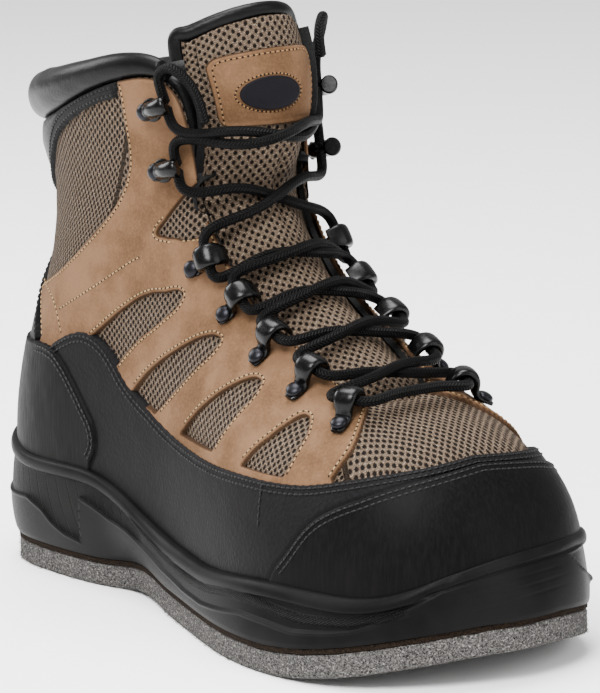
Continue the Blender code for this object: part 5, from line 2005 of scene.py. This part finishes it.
@dataclass
class Tongue:
    """The padded tongue with its binding, patch and blank badge.

    Its outer face is a product of cubic curves: rows over the throat run from side to side,
    and each of their points follows a curve from the vamp to the top.
    """

    form: BootForm
    finishes: Finishes
    thick: float = 0.0045
    clear: float = 0.0009
    binding: float = 0.0028
    room: float = 0.0005
    lean: float = 0.30
    patch_rise: tuple[float, float] = (0.780, 0.936)
    patch_half: float = 0.50
    badge_rise: float = 0.846
    badge_tall: float = 0.034
    badge_side: float = -0.05
    badge_half: float = 0.27
    corner: float = 4.5
    read: Optional[Callable[[Array], Array]] = None

    def __post_init__(self) -> None:
        """Lay the rows and keep the curve through them."""
        form = self.form
        under = -form.wall - self.clear
        lap = np.array((0.14, 0.07, 0.0))
        table = np.array(TONGUE_BULGE)
        spread = np.linspace(1, -1, 11)
        rows = [form.point(1.9 * spread, 1 - 0.09, under - 1.0 * MM),
                form.point(2.3 * spread, 1 - 0.02, under - 1.0 * MM)]
        for station in (2.9, 3.6, 4.4, 5.2, 6.0, 6.8, 7.4, 7.9):
            width = np.interp(station, [6.8, 7.9], [1.0, 0.45])
            left = form.point(station, 1 - lap * width, under)
            right = form.point(-station, 1 - lap * width, under)
            low = form.point(station - 0.4, 1.0)
            run = form.point(station + 0.4, 1.0) - low
            ahead = np.array([run[2], 0.0, -run[0]]) / np.hypot(run[0], run[2])
            bulge = np.interp(station, table[:, 0], table[:, 1]) * form.ball
            rows.append(self.row(left, right, bulge, ahead))
        for edge, height, outer, inner, bulge, arch in TONGUE_TOP:
            x, z = (edge - form.heel_point) * form.length, height * form.shaft
            ends = [np.array([[x - d, s * (half * form.ball + d * 0.6), z] for d in (0.0030, 0.0015, 0.0)])
                    for s, half in ((-1, outer), (1, inner))]
            rows.append(self.row(*ends, bulge * form.ball, np.array([1.0, 0.0, 0.0]), self.lean,
                                 arch * form.shaft))
        grid = np.array(rows)
        run = np.linalg.norm(np.diff(grid[:, 5], axis=0), axis=1)
        at = np.concatenate([[0], np.cumsum(run)]) / run.sum()
        self.read = spline(at, grid.reshape(len(grid), -1))

    @staticmethod
    def row(left: Array, right: Array, bulge: float, ahead: Array, lean: float = 0.0,
            arch: float = 0.0) -> Array:
        """Eleven points of a row: a lap on each side and the arc 4 f (1 - f) between them.

        Args:
            left: lap points of the outer side.
            right: lap points of the inner side.
            bulge: height of the arc.
            ahead: its direction.
            lean: share by which the arc is fuller toward the inner side.
            arch: rise of the middle.

        Returns:
            The points from side to side.
        """
        f = np.linspace(0, 1, 7)[:, None]
        swell = 4 * f * (1 - f) * (1 + lean * (2 * f - 1))
        arc = left[-1] + (right[-1] - left[-1]) * f + ahead * bulge * swell
        arc[:, 2:] += arch * swell ** 0.8
        return np.concatenate([left[:-1], arc, right[:-1][::-1]])

    def face(self, v: Array, q: Array) -> Array:
        """Grid of outer points: v up the tongue, q from -1 to 1 across.

        Args:
            v: places up the tongue.
            q: places across it.

        Returns:
            The points, a row for each v.
        """
        rows = self.read(np.asarray(v, float)).reshape(len(v), 11, 3)
        across = spline(np.linspace(-1, 1, 11), rows.transpose(1, 0, 2).reshape(11, -1))
        return across(np.asarray(q, float)).reshape(len(q), len(v), 3).transpose(1, 0, 2)

    def sheet(self, v: Array, q: Array, off: Array = 0.0) -> tuple[Array, Array]:
        """Grid of points set off from the face, and the normals.

        Args:
            v: places up the tongue.
            q: places across it.
            off: metres off the face.

        Returns:
            The points and the normals.
        """
        step = 2e-3
        a, b = np.clip(v, step, 1 - step), np.clip(q, step - 1, 1 - step)
        normal = unit(np.cross(self.face(a, b + step) - self.face(a, b - step),
                               self.face(a + step, b) - self.face(a - step, b)))
        return self.face(v, q) + normal * np.asarray(off)[..., None], normal

    def spots(self, v: Array, q: Array, off: float = 0.0) -> tuple[Array, Array]:
        """Points and normals at paired v and q."""
        found = [self.sheet(np.array([a]), np.array([b]), off) for a, b in zip(v, q)]
        return np.array([p[0, 0] for p, _ in found]), np.array([n[0, 0] for _, n in found])

    def body(self) -> Thing:
        """The padded mesh body, rounded along its edges.

        Returns:
            The dressed piece.
        """
        v, q = np.linspace(0, 1, 190), np.linspace(-1, 1, 84)
        near = np.minimum((1 - np.abs(q))[None] * 30, 20.0)
        bevel = 1 - np.clip(near / 1.8, 0, 1)
        dent = -1.2 * MM * (1 - np.sqrt(1 - bevel ** 2))
        quilt = 0.25 * MM * ripple(v[:, None] * 0.15, q[None] * 0.03, 4, 0.02)
        fold = -1.3 * MM * np.exp(-((q[None] - 0.10 - 0.22 * (v[:, None] - 0.6)) / 0.045) ** 2) \
            * rise(0.50, 0.60, v)[:, None] * (1 - rise(0.70, 0.76, v))[:, None]
        outer, _ = self.sheet(v, q, dent + quilt + fold)
        inner, _ = self.sheet(v, q, np.broadcast_to(-self.thick - dent, outer.shape[:2]))
        down = np.cumsum(np.linalg.norm(np.diff(outer, axis=0, prepend=outer[:1]), axis=2), axis=0)
        wide = np.cumsum(np.linalg.norm(np.diff(outer, axis=1, prepend=outer[:, :1]), axis=2), axis=1)
        flat = np.stack([wide - wide[:, 42:43], down[:, 42:43] + 0 * wide], axis=-1) / MM
        soup = Soup()
        soup.grid(outer, 0, flip=True, flat=flat)
        soup.grid(inner, 1, flat=flat)
        for k in (0, -1):
            soup.grid(np.stack([outer[:, k], inner[:, k]], axis=1), 0, flip=k == -1)
            soup.grid(np.stack([outer[k], inner[k]], axis=1), 0, flip=k == 0)
        piece = soup.make("tongue_body", [self.finishes["tongue_mesh"], self.finishes["lining"]])
        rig.padded(dress(piece, "upper_mesh", "tongue"), 0.7)
        return piece

    def past_edge(self, v: float, q: float, aside: float, above: float) -> tuple[Array, Array]:
        """Middle of the thickness at the edge, set past it square to side and top.

        Args:
            v: place up the tongue.
            q: place across it.
            aside: share of the step past the side.
            above: share past the top.

        Returns:
            The point and the way back to the edge.
        """
        step = 0.02
        point, side, low = (self.spots([a], [b], -self.thick / 2)[0][0]
                            for a, b in ((v, q), (v, q - np.copysign(step, q)), (v - step, q)))
        across, climb = unit(point - side), unit(point - low)
        slant = across @ climb
        way = ((across - climb * slant) * aside + (climb - across * slant) * above) / np.sqrt(1 - slant ** 2)
        return point + way * (self.binding + self.room), -unit(way)

    def bind(self) -> Thing:
        """The soft binding: a rounded strip folded over the edge, flatter on its two faces.

        Returns:
            The dressed piece.
        """
        rows = [(0.95, 1, 1, 0), (0.97, 1, 1, 0), (0.987, 1, 1, 0), (1, 1, 1.3, 1.4), (1, 0.92, 0, 1),
                (1, 0.8, 0, 1), (1, 0.65, 0, 1), (1, 0.5, 0, 1), (1, 0.35, 0, 1), (1, 0.2, 0, 1),
                (1, 0.0, 0, 1)]
        rows = rows + [(v, -q, a, u) for v, q, a, u in rows[-2::-1]]
        found = [self.past_edge(*row) for row in rows]
        count = 150
        path = smooth(np.array([p for p, _ in found]), count)
        for _ in range(120):
            path[1:-1] = (path[:-2] + 2 * path[1:-1] + path[2:]) / 4
        knots = np.linspace(0, 1, len(found))
        back = read_off(np.linspace(0, 1, count), knots, np.array([w for _, w in found]))
        run = unit(np.gradient(path, axis=0))
        back = unit(back - run * (back * run).sum(1)[:, None])
        face = np.cross(run, back)
        angle = circle(28)
        soft = ripple(np.arange(count)[:, None] * 0.001, angle[None] * 0.01, 2, 0.02)
        size = self.binding * (1 + 0.03 * soft)
        inward = np.cos(angle) * np.where(np.cos(angle) > 0, 1.30, 1.0)
        loops = path[:, None] + size[..., None] * (
            inward[None, :, None] * back[:, None] + 1.02 * np.sin(angle)[None, :, None] * face[:, None])
        soup = Soup()
        soup.tube(loops)
        return dress(soup.make("tongue_edge_binding", [self.finishes["leather"]]), "collar_leather",
                     "tongue_binding")

    def patch_size(self) -> tuple[float, float]:
        """Height and half width of the patch in millimetres, measured on the tongue.

        Returns:
            The height and the half width.
        """
        v, q = np.linspace(*self.patch_rise, 20), np.linspace(-self.patch_half, self.patch_half, 20)
        up = self.face(v, np.array([0.0]))[:, 0]
        across = self.face(np.array([v.mean()]), q)[0]
        tall, wide = (np.linalg.norm(np.diff(run, axis=0), axis=1).sum() / MM for run in (up, across))
        return tall, wide / 2

    def patch(self) -> Thing:
        """The nubuck patch: a plate with rounded upper corners and a cut edge.

        Returns:
            The dressed piece.
        """
        tall, wide = self.patch_size()
        v = np.linspace(self.patch_rise[0], self.patch_rise[1], 80)
        q = np.linspace(-self.patch_half, self.patch_half, 110)
        y = (v - v.mean()) / (v[-1] - v[0]) * tall
        x = q / self.patch_half * wide
        corner = self.corner
        dx, dy = np.abs(x)[None] - wide + corner, np.abs(y)[:, None] - tall / 2 + corner
        outside = np.hypot(np.maximum(dx, 0), np.maximum(dy, 0)) + np.minimum(np.maximum(dx, dy), 0)
        d = corner - outside
        bevel = 0.8
        t = np.clip(d / bevel, 0, 1)
        height = (2.0 - bevel * (1 - np.sqrt(1 - (1 - t) ** 2))) * MM
        height = np.where(d < 0, -0.6 * MM, height)
        groove = np.exp(-((d - 2.0) / 0.5) ** 2) * 0.12 * MM
        places, _ = self.sheet(v, q, height - groove)
        soup = Soup()
        quads = grid_faces(80, 110)
        keep = (d.ravel()[quads] > -0.5).any(1)
        soup.add(places, quads[keep][:, ::-1], 0, np.stack(np.broadcast_arrays(x[None], y[:, None]), -1), d)
        return dress(soup.make("tongue_patch_leather", [self.finishes["nubuck"]]), "nubuck", "tongue_patch")

    def oval(self, angle: Array, size: float, lift: float) -> tuple[Array, Array]:
        """Points and normals of the badge's oval, scaled, at a lift in millimetres."""
        return self.spots(self.badge_rise + self.badge_tall * size * np.sin(angle),
                          self.badge_side + self.badge_half * size * np.cos(angle), lift * MM)

    def trim(self) -> None:
        """Stitches round the patch and the badge, and the badge itself."""
        low, high = self.patch_rise
        tall, wide = self.patch_size()
        rise_mm, side_mm, corner = tall / (high - low), wide / self.patch_half, self.corner - 0.5
        inset_v, inset_q = 2.0 / rise_mm, 2.0 / side_mm
        turn = np.linspace(0, np.pi / 2, 8)
        right = self.patch_half - inset_q
        path = [(low + inset_v * 0.4, -right), (high - inset_v - corner / rise_mm, -right)]
        path += [(high - inset_v - (corner - corner * np.sin(a)) / rise_mm,
                  -right + (corner - corner * np.cos(a)) / side_mm) for a in turn]
        path += [(v, -q) for v, q in path[::-1]]
        path = np.array(path)
        fine = np.vstack([np.linspace(a, b, 10, endpoint=False) for a, b in zip(path[:-1], path[1:])])
        brown = Stitches("patch_stitches", "brown", "nubuck", 2.3 * MM, 1.6 * MM, 0.32 * MM)
        brown.run(*self.spots(fine[:, 0], fine[:, 1], 2.0 * MM))
        brown.pitch, brown.long = 1.7 * MM, 1.1 * MM
        brown.run(*self.oval(np.linspace(0, 2 * np.pi, 90), 1.13, 2.0))
        brown.finish(self.finishes)
        soup = Soup()
        angle = circle(72)
        rings = [self.oval(angle, size, lift)[0] for size, lift in (
            (1.0, 1.9), (1.0, 2.9), (0.985, 3.15), (0.95, 3.3), (0.90, 3.32), (0.86, 3.12), (0.5, 3.18),
            (0.05, 3.2))]
        soup.grid(np.array(rings), 0, wrap_columns=True)
        soup.cap(rings[-1], 0)
        dress(soup.make("tongue_badge_plate", [self.finishes["badge"]]), "collar_leather", "tongue_badge")

    def build(self) -> None:
        """Make the tongue's pieces."""
        self.body()
        self.bind()
        self.patch()
        self.trim()


# Hardware and lace


@dataclass
class Rigging:
    """Lace loops, hooks, rivets and the lace through them."""

    form: BootForm
    finishes: Finishes
    tongue: Tongue
    cord: float = 0.0043
    seat: float = 2.3 * MM
    lace_seat: float = 2.8 * MM
    # The lace's line through a fitting: toward the throat, out, and half its length.
    eye: tuple[float, float, float] = (2.25, 1.08, 1.80)
    strap: Rows = ((-1.20, 0.26), (-0.40, 0.28), (0.30, 0.34), (0.80, 0.72), (1.06, 1.30), (1.58, 1.92),
                   (2.35, 2.06), (3.05, 1.62), (3.33, 0.80), (3.38, 0.10))
    hook: Rows = ((-0.40, 1.05), (0.20, 1.35), (0.85, 1.85), (1.50, 2.25), (2.15, 2.40), (2.75, 2.34),
                  (3.00, 2.25))

    def stand(self, row: Sequence[float], side: Side, lift: float) -> tuple[Array, ...]:
        """Foot of a fitting, the way to the throat, out, and along the throat.

        Args:
            row: the fitting's row.
            side: side of the foot.
            lift: metres over the upper.

        Returns:
            The point and the three directions.
        """
        rivet, share, arch, arch_share = row
        k = side.value
        foot = self.form.point(k * rivet, share, lift)
        way = self.form.point(k * arch, arch_share, lift) - foot
        out = self.form.surface(k * (rivet + arch) / 2, (share + arch_share) / 2)[1]
        way = unit(way - out * (way @ out))
        return foot, way, out, unit(np.cross(out, way) * k)

    def bar(self, rows: Rows, count: int, foot: Array, way: Array, out: Array) -> tuple[Array, Array]:
        """Middle line of a bent bar and its normals.

        Args:
            rows: places along way and out, in lace thicknesses.
            count: points to give.
            foot: where the rows are counted from.
            way: direction to the throat.
            out: direction out of the boot.

        Returns:
            The points and the normals.
        """
        path = smooth(np.array(rows), count) * self.cord
        run = unit(np.gradient(path, axis=0))
        square = -run[:, 1:] * way + run[:, :1] * out
        return foot + path[:, :1] * way + path[:, 1:] * out, square

    def loop(self, name: str, row: Sequence[float], side: Side) -> None:
        """A lace loop: a bent strap of rounded section and its domed rivet.

        Args:
            name: its CAD node.
            row: its row.
            side: side of the foot.
        """
        foot, way, out, along = self.stand(row, side, self.seat)
        centre, square = self.bar(self.strap, 46, foot, way, out)
        share = np.linspace(0, 1, 46)
        half = self.cord * np.interp(share, [0, 0.06, 0.20, 0.34, 0.55, 0.8, 1],
                                     [0.50, 0.72, 0.80, 0.84, 1.10, 1.14, 0.92])
        thick = self.cord * np.interp(share, [0, 0.25, 0.55, 1], [0.20, 0.34, 0.46, 0.28])
        angle = circle(22)
        c, s = np.cos(angle), np.sin(angle)
        flat, high = np.sign(c) * np.abs(c) ** 0.55, np.sign(s) * np.abs(s) ** 0.8
        loops = centre[:, None] + (half[:, None] * flat)[..., None] * along * side.value \
            + (thick[:, None] * high)[..., None] * square[:, None]
        soup = Soup()
        soup.tube(loops)
        base = foot + out * 0.50 * self.cord - way * 0.30 * self.cord
        self.dome(soup, base, way, out, 0.82 * self.cord)
        piece = soup.make(name + "_fitting", [self.finishes["gloss"], self.finishes["steel"]])
        dress(piece, "hardware", name, name + "_rivet")

    def dome(self, soup: Soup, base: Array, way: Array, out: Array, r: float) -> None:
        """Add a domed rivet head: a short wall, then a quarter ellipse to the crown.

        Args:
            soup: where it goes.
            base: its foot.
            way: direction to the throat.
            out: its axis.
            r: its radius.
        """
        turn = np.linspace(0, np.pi / 2, 9)[:-1]
        profile = [(r * 0.94, -0.1 * r), (r, 0.08 * r)]
        profile += [(r * np.cos(a), r * (0.16 + 0.52 * np.sin(a))) for a in turn]
        profile.append((r * 0.06, r * 0.685))
        turned(soup, base, out, way, np.cross(out, way), profile, 1)

    def hooked(self, name: str, row: Sequence[float], side: Side) -> None:
        """A speed hook: a disc, a domed head and a thick round neck that arches over the lace.

        Args:
            name: its CAD node.
            row: its row.
            side: side of the foot.
        """
        foot, way, out, along = self.stand(row, side, self.seat)
        soup = Soup()
        base = foot - way * 0.48 * self.cord
        r = 1.14 * self.cord
        across = np.cross(out, way)
        turned(soup, base, out, way, across, [(r, -0.1 * MM), (r, 0.7 * MM), (r - 0.4 * MM, 1.0 * MM),
                                              (0.5 * r, 1.0 * MM)], 0, 36)
        turned(soup, base, out, way, across, [(0.62 * self.cord, 0.0), (0.62 * self.cord, self.cord)], 0, 30)
        centre, square = self.bar(self.hook, 44, foot, way, out)
        share = np.linspace(0, 1, 44)
        radius = self.cord * np.interp(share, [0, 0.15, 0.45, 0.75, 0.90, 0.96, 1.0],
                                       [0.60, 0.80, 0.80, 0.84, 0.92, 0.90, 0.76])
        angle = circle(24)
        loops = centre[:, None] + radius[:, None, None] * (
            np.cos(angle)[None, :, None] * along * side.value
            + 0.92 * np.sin(angle)[None, :, None] * square[:, None])
        soup.tube(loops)
        turned(soup, base + out * 1.15 * self.cord, out, way, across,
               [(0.78 * self.cord, -0.2 * MM), (0.88 * self.cord, 0.1 * MM), (0.88 * self.cord, 0.6 * MM),
                (0.78 * self.cord, 0.9 * MM)], 0, 32)
        self.dome(soup, base + out * (1.15 * self.cord + 0.8 * MM), way, out, 0.76 * self.cord)
        piece = soup.make(name + "_fitting", [self.finishes["gloss"], self.finishes["steel"]])
        dress(piece, "hardware", name, name + "_rivet")

    def tunnel(self, row: Sequence[float], side: Side, reach: float) -> Array:
        """Point on the lace's line through a fitting.

        Args:
            row: the fitting's row.
            side: side of the foot.
            reach: place along it, -1 at its toe end and 1 at its heel end.

        Returns:
            The point.
        """
        foot, way, out, along = self.stand(row, side, self.lace_seat)
        far, high, half = self.eye
        return foot + out * self.form.gap + (way * far + out * high + along * reach * half) * self.cord

    def strand(self, low_row: Sequence[float], low_side: Side, low_end: int, high_row: Sequence[float],
               high_side: Side, high_end: int, lift: float) -> Array:
        """Route between two fittings, bowed clear of the tongue.

        Args:
            low_row: fitting that the strand leaves.
            low_side: its side.
            low_end: end of it, 1 toward the heel.
            high_row: fitting that it enters.
            high_side: its side.
            high_end: end of it.
            lift: height of the bow over a strand that it crosses.

        Returns:
            Seven points.
        """
        tongue = self.tongue
        low, high = self.tunnel(low_row, low_side, low_end), self.tunnel(high_row, high_side, high_end)
        v = np.linspace(0, 1, 101)
        face, normal = tongue.sheet(v, np.array([0.0]))
        k = int(np.argmin(np.linalg.norm(face[:, 0] - (low + high) / 2, axis=1)))
        out, bow = normal[k, 0], 1.5 * MM
        for f in (0.25, 0.35, 0.5, 0.65, 0.75):
            spot = low + (high - low) * f
            k = int(np.argmin(np.linalg.norm(face[:, 0] - spot, axis=1)))
            cover = 2.2 * MM if v[k] > tongue.patch_rise[0] - 0.03 else 0.0
            clear = self.cord / 2 + tongue.clear + cover
            under = tongue.sheet(v[k:k + 1], np.linspace(-0.8, 0.8, 17), np.full((1, 17), clear))[0][0]
            under = under[np.argmin(np.linalg.norm(np.cross(under - spot, out), axis=1))]
            bow = max(bow, float((under - spot) @ out) / (4 * f * (1 - f)))
        f = np.linspace(0, 1, 5)[:, None]
        arch = 4 * f * (1 - f)
        route = low + (high - low) * f + out * (bow * arch + lift * arch ** 2)
        return np.vstack([self.tunnel(low_row, low_side, 0.03 * low_end), route,
                          self.tunnel(high_row, high_side, 0.03 * high_end)])

    def braid(self, soup: Soup, route: Array) -> Array:
        """Add a round braid along a route.

        A zigzag z runs from 0 to 1 and back four times round the lace. The radius is
        R (0.93 + 0.07 w) with the rib w = |sin(pi (s + 1.3 z) / 1.25)| at s mm along it.

        Args:
            soup: where it goes.
            route: the route's own points.

        Returns:
            The centreline.
        """
        rough = smooth(route, 60)
        length = np.linalg.norm(np.diff(rough, axis=0), axis=1).sum()
        count = max(20, int(length / (0.40 * MM)))
        path = smooth(route, count)
        first, second = frames(path)
        angle = circle(24)
        s = np.linspace(0, length, count)[:, None]
        zigzag = np.abs((np.arange(24) / 3) % 2 - 1)[None]
        weave = np.abs(np.sin(np.pi * (s / MM + 1.3 * zigzag) / 1.25))
        radius = self.cord / 2 * (0.94 + 0.07 * weave)
        taper = np.clip(np.minimum(s, length - s) / (0.6 * MM), 0.55, 1)
        radius = radius * taper
        loops = path[:, None] + radius[..., None] * (
            np.cos(angle)[None, :, None] * first[:, None] + np.sin(angle)[None, :, None] * second[:, None])
        flat = np.stack(np.broadcast_arrays(zigzag, s / MM), axis=-1)
        soup.tube(loops, flat)
        return path

    def lace(self) -> None:
        """The bar, the crossings and the two free loops."""
        rows = list(LOOPS) + list(HOOKS)
        outer, inner = Side.OUTER, Side.INNER
        soup = Soup()
        self.braid(soup, self.strand(rows[0], outer, -1, rows[0], inner, -1, 0.0))
        dress(soup.make("lace_straight_bar", [self.finishes["braid"]]), "lace", "lace_bar")
        for k in range(len(rows) - 1):
            soup = Soup()
            self.braid(soup, self.strand(rows[k], inner, 1, rows[k + 1], outer, -1, 0.0))
            self.braid(soup, self.strand(rows[k], outer, 1, rows[k + 1], inner, -1, 0.75 * self.cord))
            dress(soup.make(f"lace_crossing_{k + 1}", [self.finishes["braid"]]), "lace",
                  f"lace_cross_{k + 1}")
        for side in Side:
            self.free_end(rows[-1], side)

    def free_end(self, row: Sequence[float], side: Side) -> None:
        """The loop of lace beyond the top hook, declared as a cord.

        Args:
            row: the top hook's row.
            side: side of the foot.
        """
        start = self.tunnel(row, side, 1)
        way, out, along = self.stand(row, side, self.lace_seat)[1:]
        if side is Side.OUTER:
            steps = ((0.004, 0.001, 0), (0.006, 0.006, 0), (0.002, 0.012, 0), (-0.007, 0.016, 0),
                     (-0.020, 0.016, 0))
        else:
            steps = ((0.008, 0, 0.001), (0.015, 0, 0.003), (0.020, 0.005, 0.003), (0.015, 0.010, 0),
                     (0.002, 0.010, 0))
        route = [self.tunnel(row, side, 0.03), start]
        route += [start + along * a + way * w + out * o for a, w, o in steps]
        soup = Soup()
        path = self.braid(soup, np.array(route))
        name = "lace_end_" + side.name.lower()
        piece = dress(soup.make(name + "_loop", [self.finishes["braid"]]), "lace", name)
        length = float(np.linalg.norm(np.diff(path, axis=0), axis=1).sum())
        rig.cord(piece, exit=path[0], length=length, diameter=self.cord, far_end="object",
                stiffness="limp", lay="loose", path=path[::6])

    def build(self) -> None:
        """Make every fitting and the lace."""
        for side in Side:
            label = side.name.lower()
            for k, row in enumerate(LOOPS):
                self.loop(f"loop_{k + 1}_{label}", row, side)
            for k, row in enumerate(HOOKS):
                self.hooked(f"hook_{k + 1}_{label}", row, side)
        self.lace()


# Studio


@dataclass(frozen=True)
class Studio:
    """Floor, lights and the camera that stands where the photograph was taken."""

    target: tuple[float, float, float] = (0.1168, 0.0071, 0.1079)
    azimuth: float = 55.7
    elevation: float = 11.4
    roll: float = -1.58
    distance: float = 2.2
    focal_px: float = 5432.0
    frame_px: tuple[int, int] = (600, 693)
    world_light: float = 0.80
    lamps: Sequence[tuple[str, Sequence[float], float, float]] = (
        ("key", (0.9, -1.1, 1.5), 0.9, 92.0), ("top", (-0.1, 0.0, 1.6), 0.9, 60.0),
        ("fill", (1.6, 0.6, 0.8), 1.2, 20.0), ("edge", (-1.2, -0.7, 0.9), 0.8, 30.0),
    )

    def camera(self) -> None:
        """Make the camera: b points from the target to it, u is its up, r its right."""
        a, e, k = (np.radians(v) for v in (self.azimuth, self.elevation, self.roll))
        back = np.array([np.sin(a) * np.cos(e), -np.cos(a) * np.cos(e), np.sin(e)])
        right = unit(np.cross(-back, UP))
        up = np.cross(right, -back)
        matrix = np.eye(4)
        matrix[:3, 0] = right * np.cos(k) + up * np.sin(k)
        matrix[:3, 1] = -right * np.sin(k) + up * np.cos(k)
        matrix[:3, 2] = back
        matrix[:3, 3] = np.array(self.target) + back * self.distance
        data = bpy.data.cameras.new("camera")
        data.sensor_width = 36.0
        data.lens = self.focal_px * 36.0 / max(self.frame_px)
        data.clip_start, data.clip_end = 0.1, 50.0
        camera = bpy.data.objects.new("camera", data)
        camera.matrix_world = Matrix(matrix.tolist())
        bpy.context.scene.collection.objects.link(camera)
        bpy.context.scene.camera = camera

    def light(self, name: str, place: Sequence[float], size: float, power: float) -> None:
        """A square soft light at a place, turned to the boot.

        Args:
            name: its name.
            place: where it stands.
            size: its side.
            power: watts.
        """
        data = bpy.data.lights.new(name, "AREA")
        data.shape, data.size, data.energy = "SQUARE", size, power
        back = unit(np.array(place, float) - (0.10, 0.0, 0.10))
        right = unit(np.cross(UP, back) + 1e-9)
        matrix = np.eye(4)
        matrix[:3, 0], matrix[:3, 1], matrix[:3, 2], matrix[:3, 3] = right, np.cross(back, right), back, place
        lamp = bpy.data.objects.new(name, data)
        lamp.matrix_world = Matrix(matrix.tolist())
        bpy.context.scene.collection.objects.link(lamp)

    def build(self) -> None:
        """Make the floor, the world, the lights and the camera."""
        soup = Soup()
        corners = np.array([[[-4.0, -4.0, 0], [4.0, -4.0, 0]], [[-4.0, 4.0, 0], [4.0, 4.0, 0]]])
        soup.grid(corners, 0, flip=True)
        r = Recipe("floor_paper")
        grain = r.noise(r.object_place(), 60, 2)
        colour = r.mix(grain, linear("F4F4F4"), linear("F7F7F7"))
        floor = soup.make("floor", [r.set(Base_Color=colour, Roughness=0.9)])
        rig.stage(floor)
        world = bpy.data.worlds.new("studio")
        world.use_nodes = True
        world.node_tree.nodes["Background"].inputs[0].default_value = (1.0, 1.0, 1.0, 1.0)
        world.node_tree.nodes["Background"].inputs[1].default_value = self.world_light
        bpy.context.scene.world = world
        for lamp in self.lamps:
            self.light(*lamp)
        self.camera()


def main() -> None:
    """Load the frame, build every piece in order and write the two boxes."""
    logging.basicConfig(level=logging.INFO, format="%(name)s: %(message)s")
    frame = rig.load()
    packed = [list(corner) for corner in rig.bounds()]
    Studio().build()
    form, finishes = BootForm(), Finishes()
    SoleAssembly(form, finishes).build(frame["nodes"])
    UpperAssembly(form, finishes).build()
    Collar(form, finishes).build()
    tongue = Tongue(form, finishes)
    tongue.build()
    Rigging(form, finishes, tongue).build()
    dressed = [list(corner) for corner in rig.bounds()]
    with open("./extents.json", "w") as report:
        json.dump({"packed": packed, "dressed": dressed}, report)


if __name__ == "__main__":
    main()
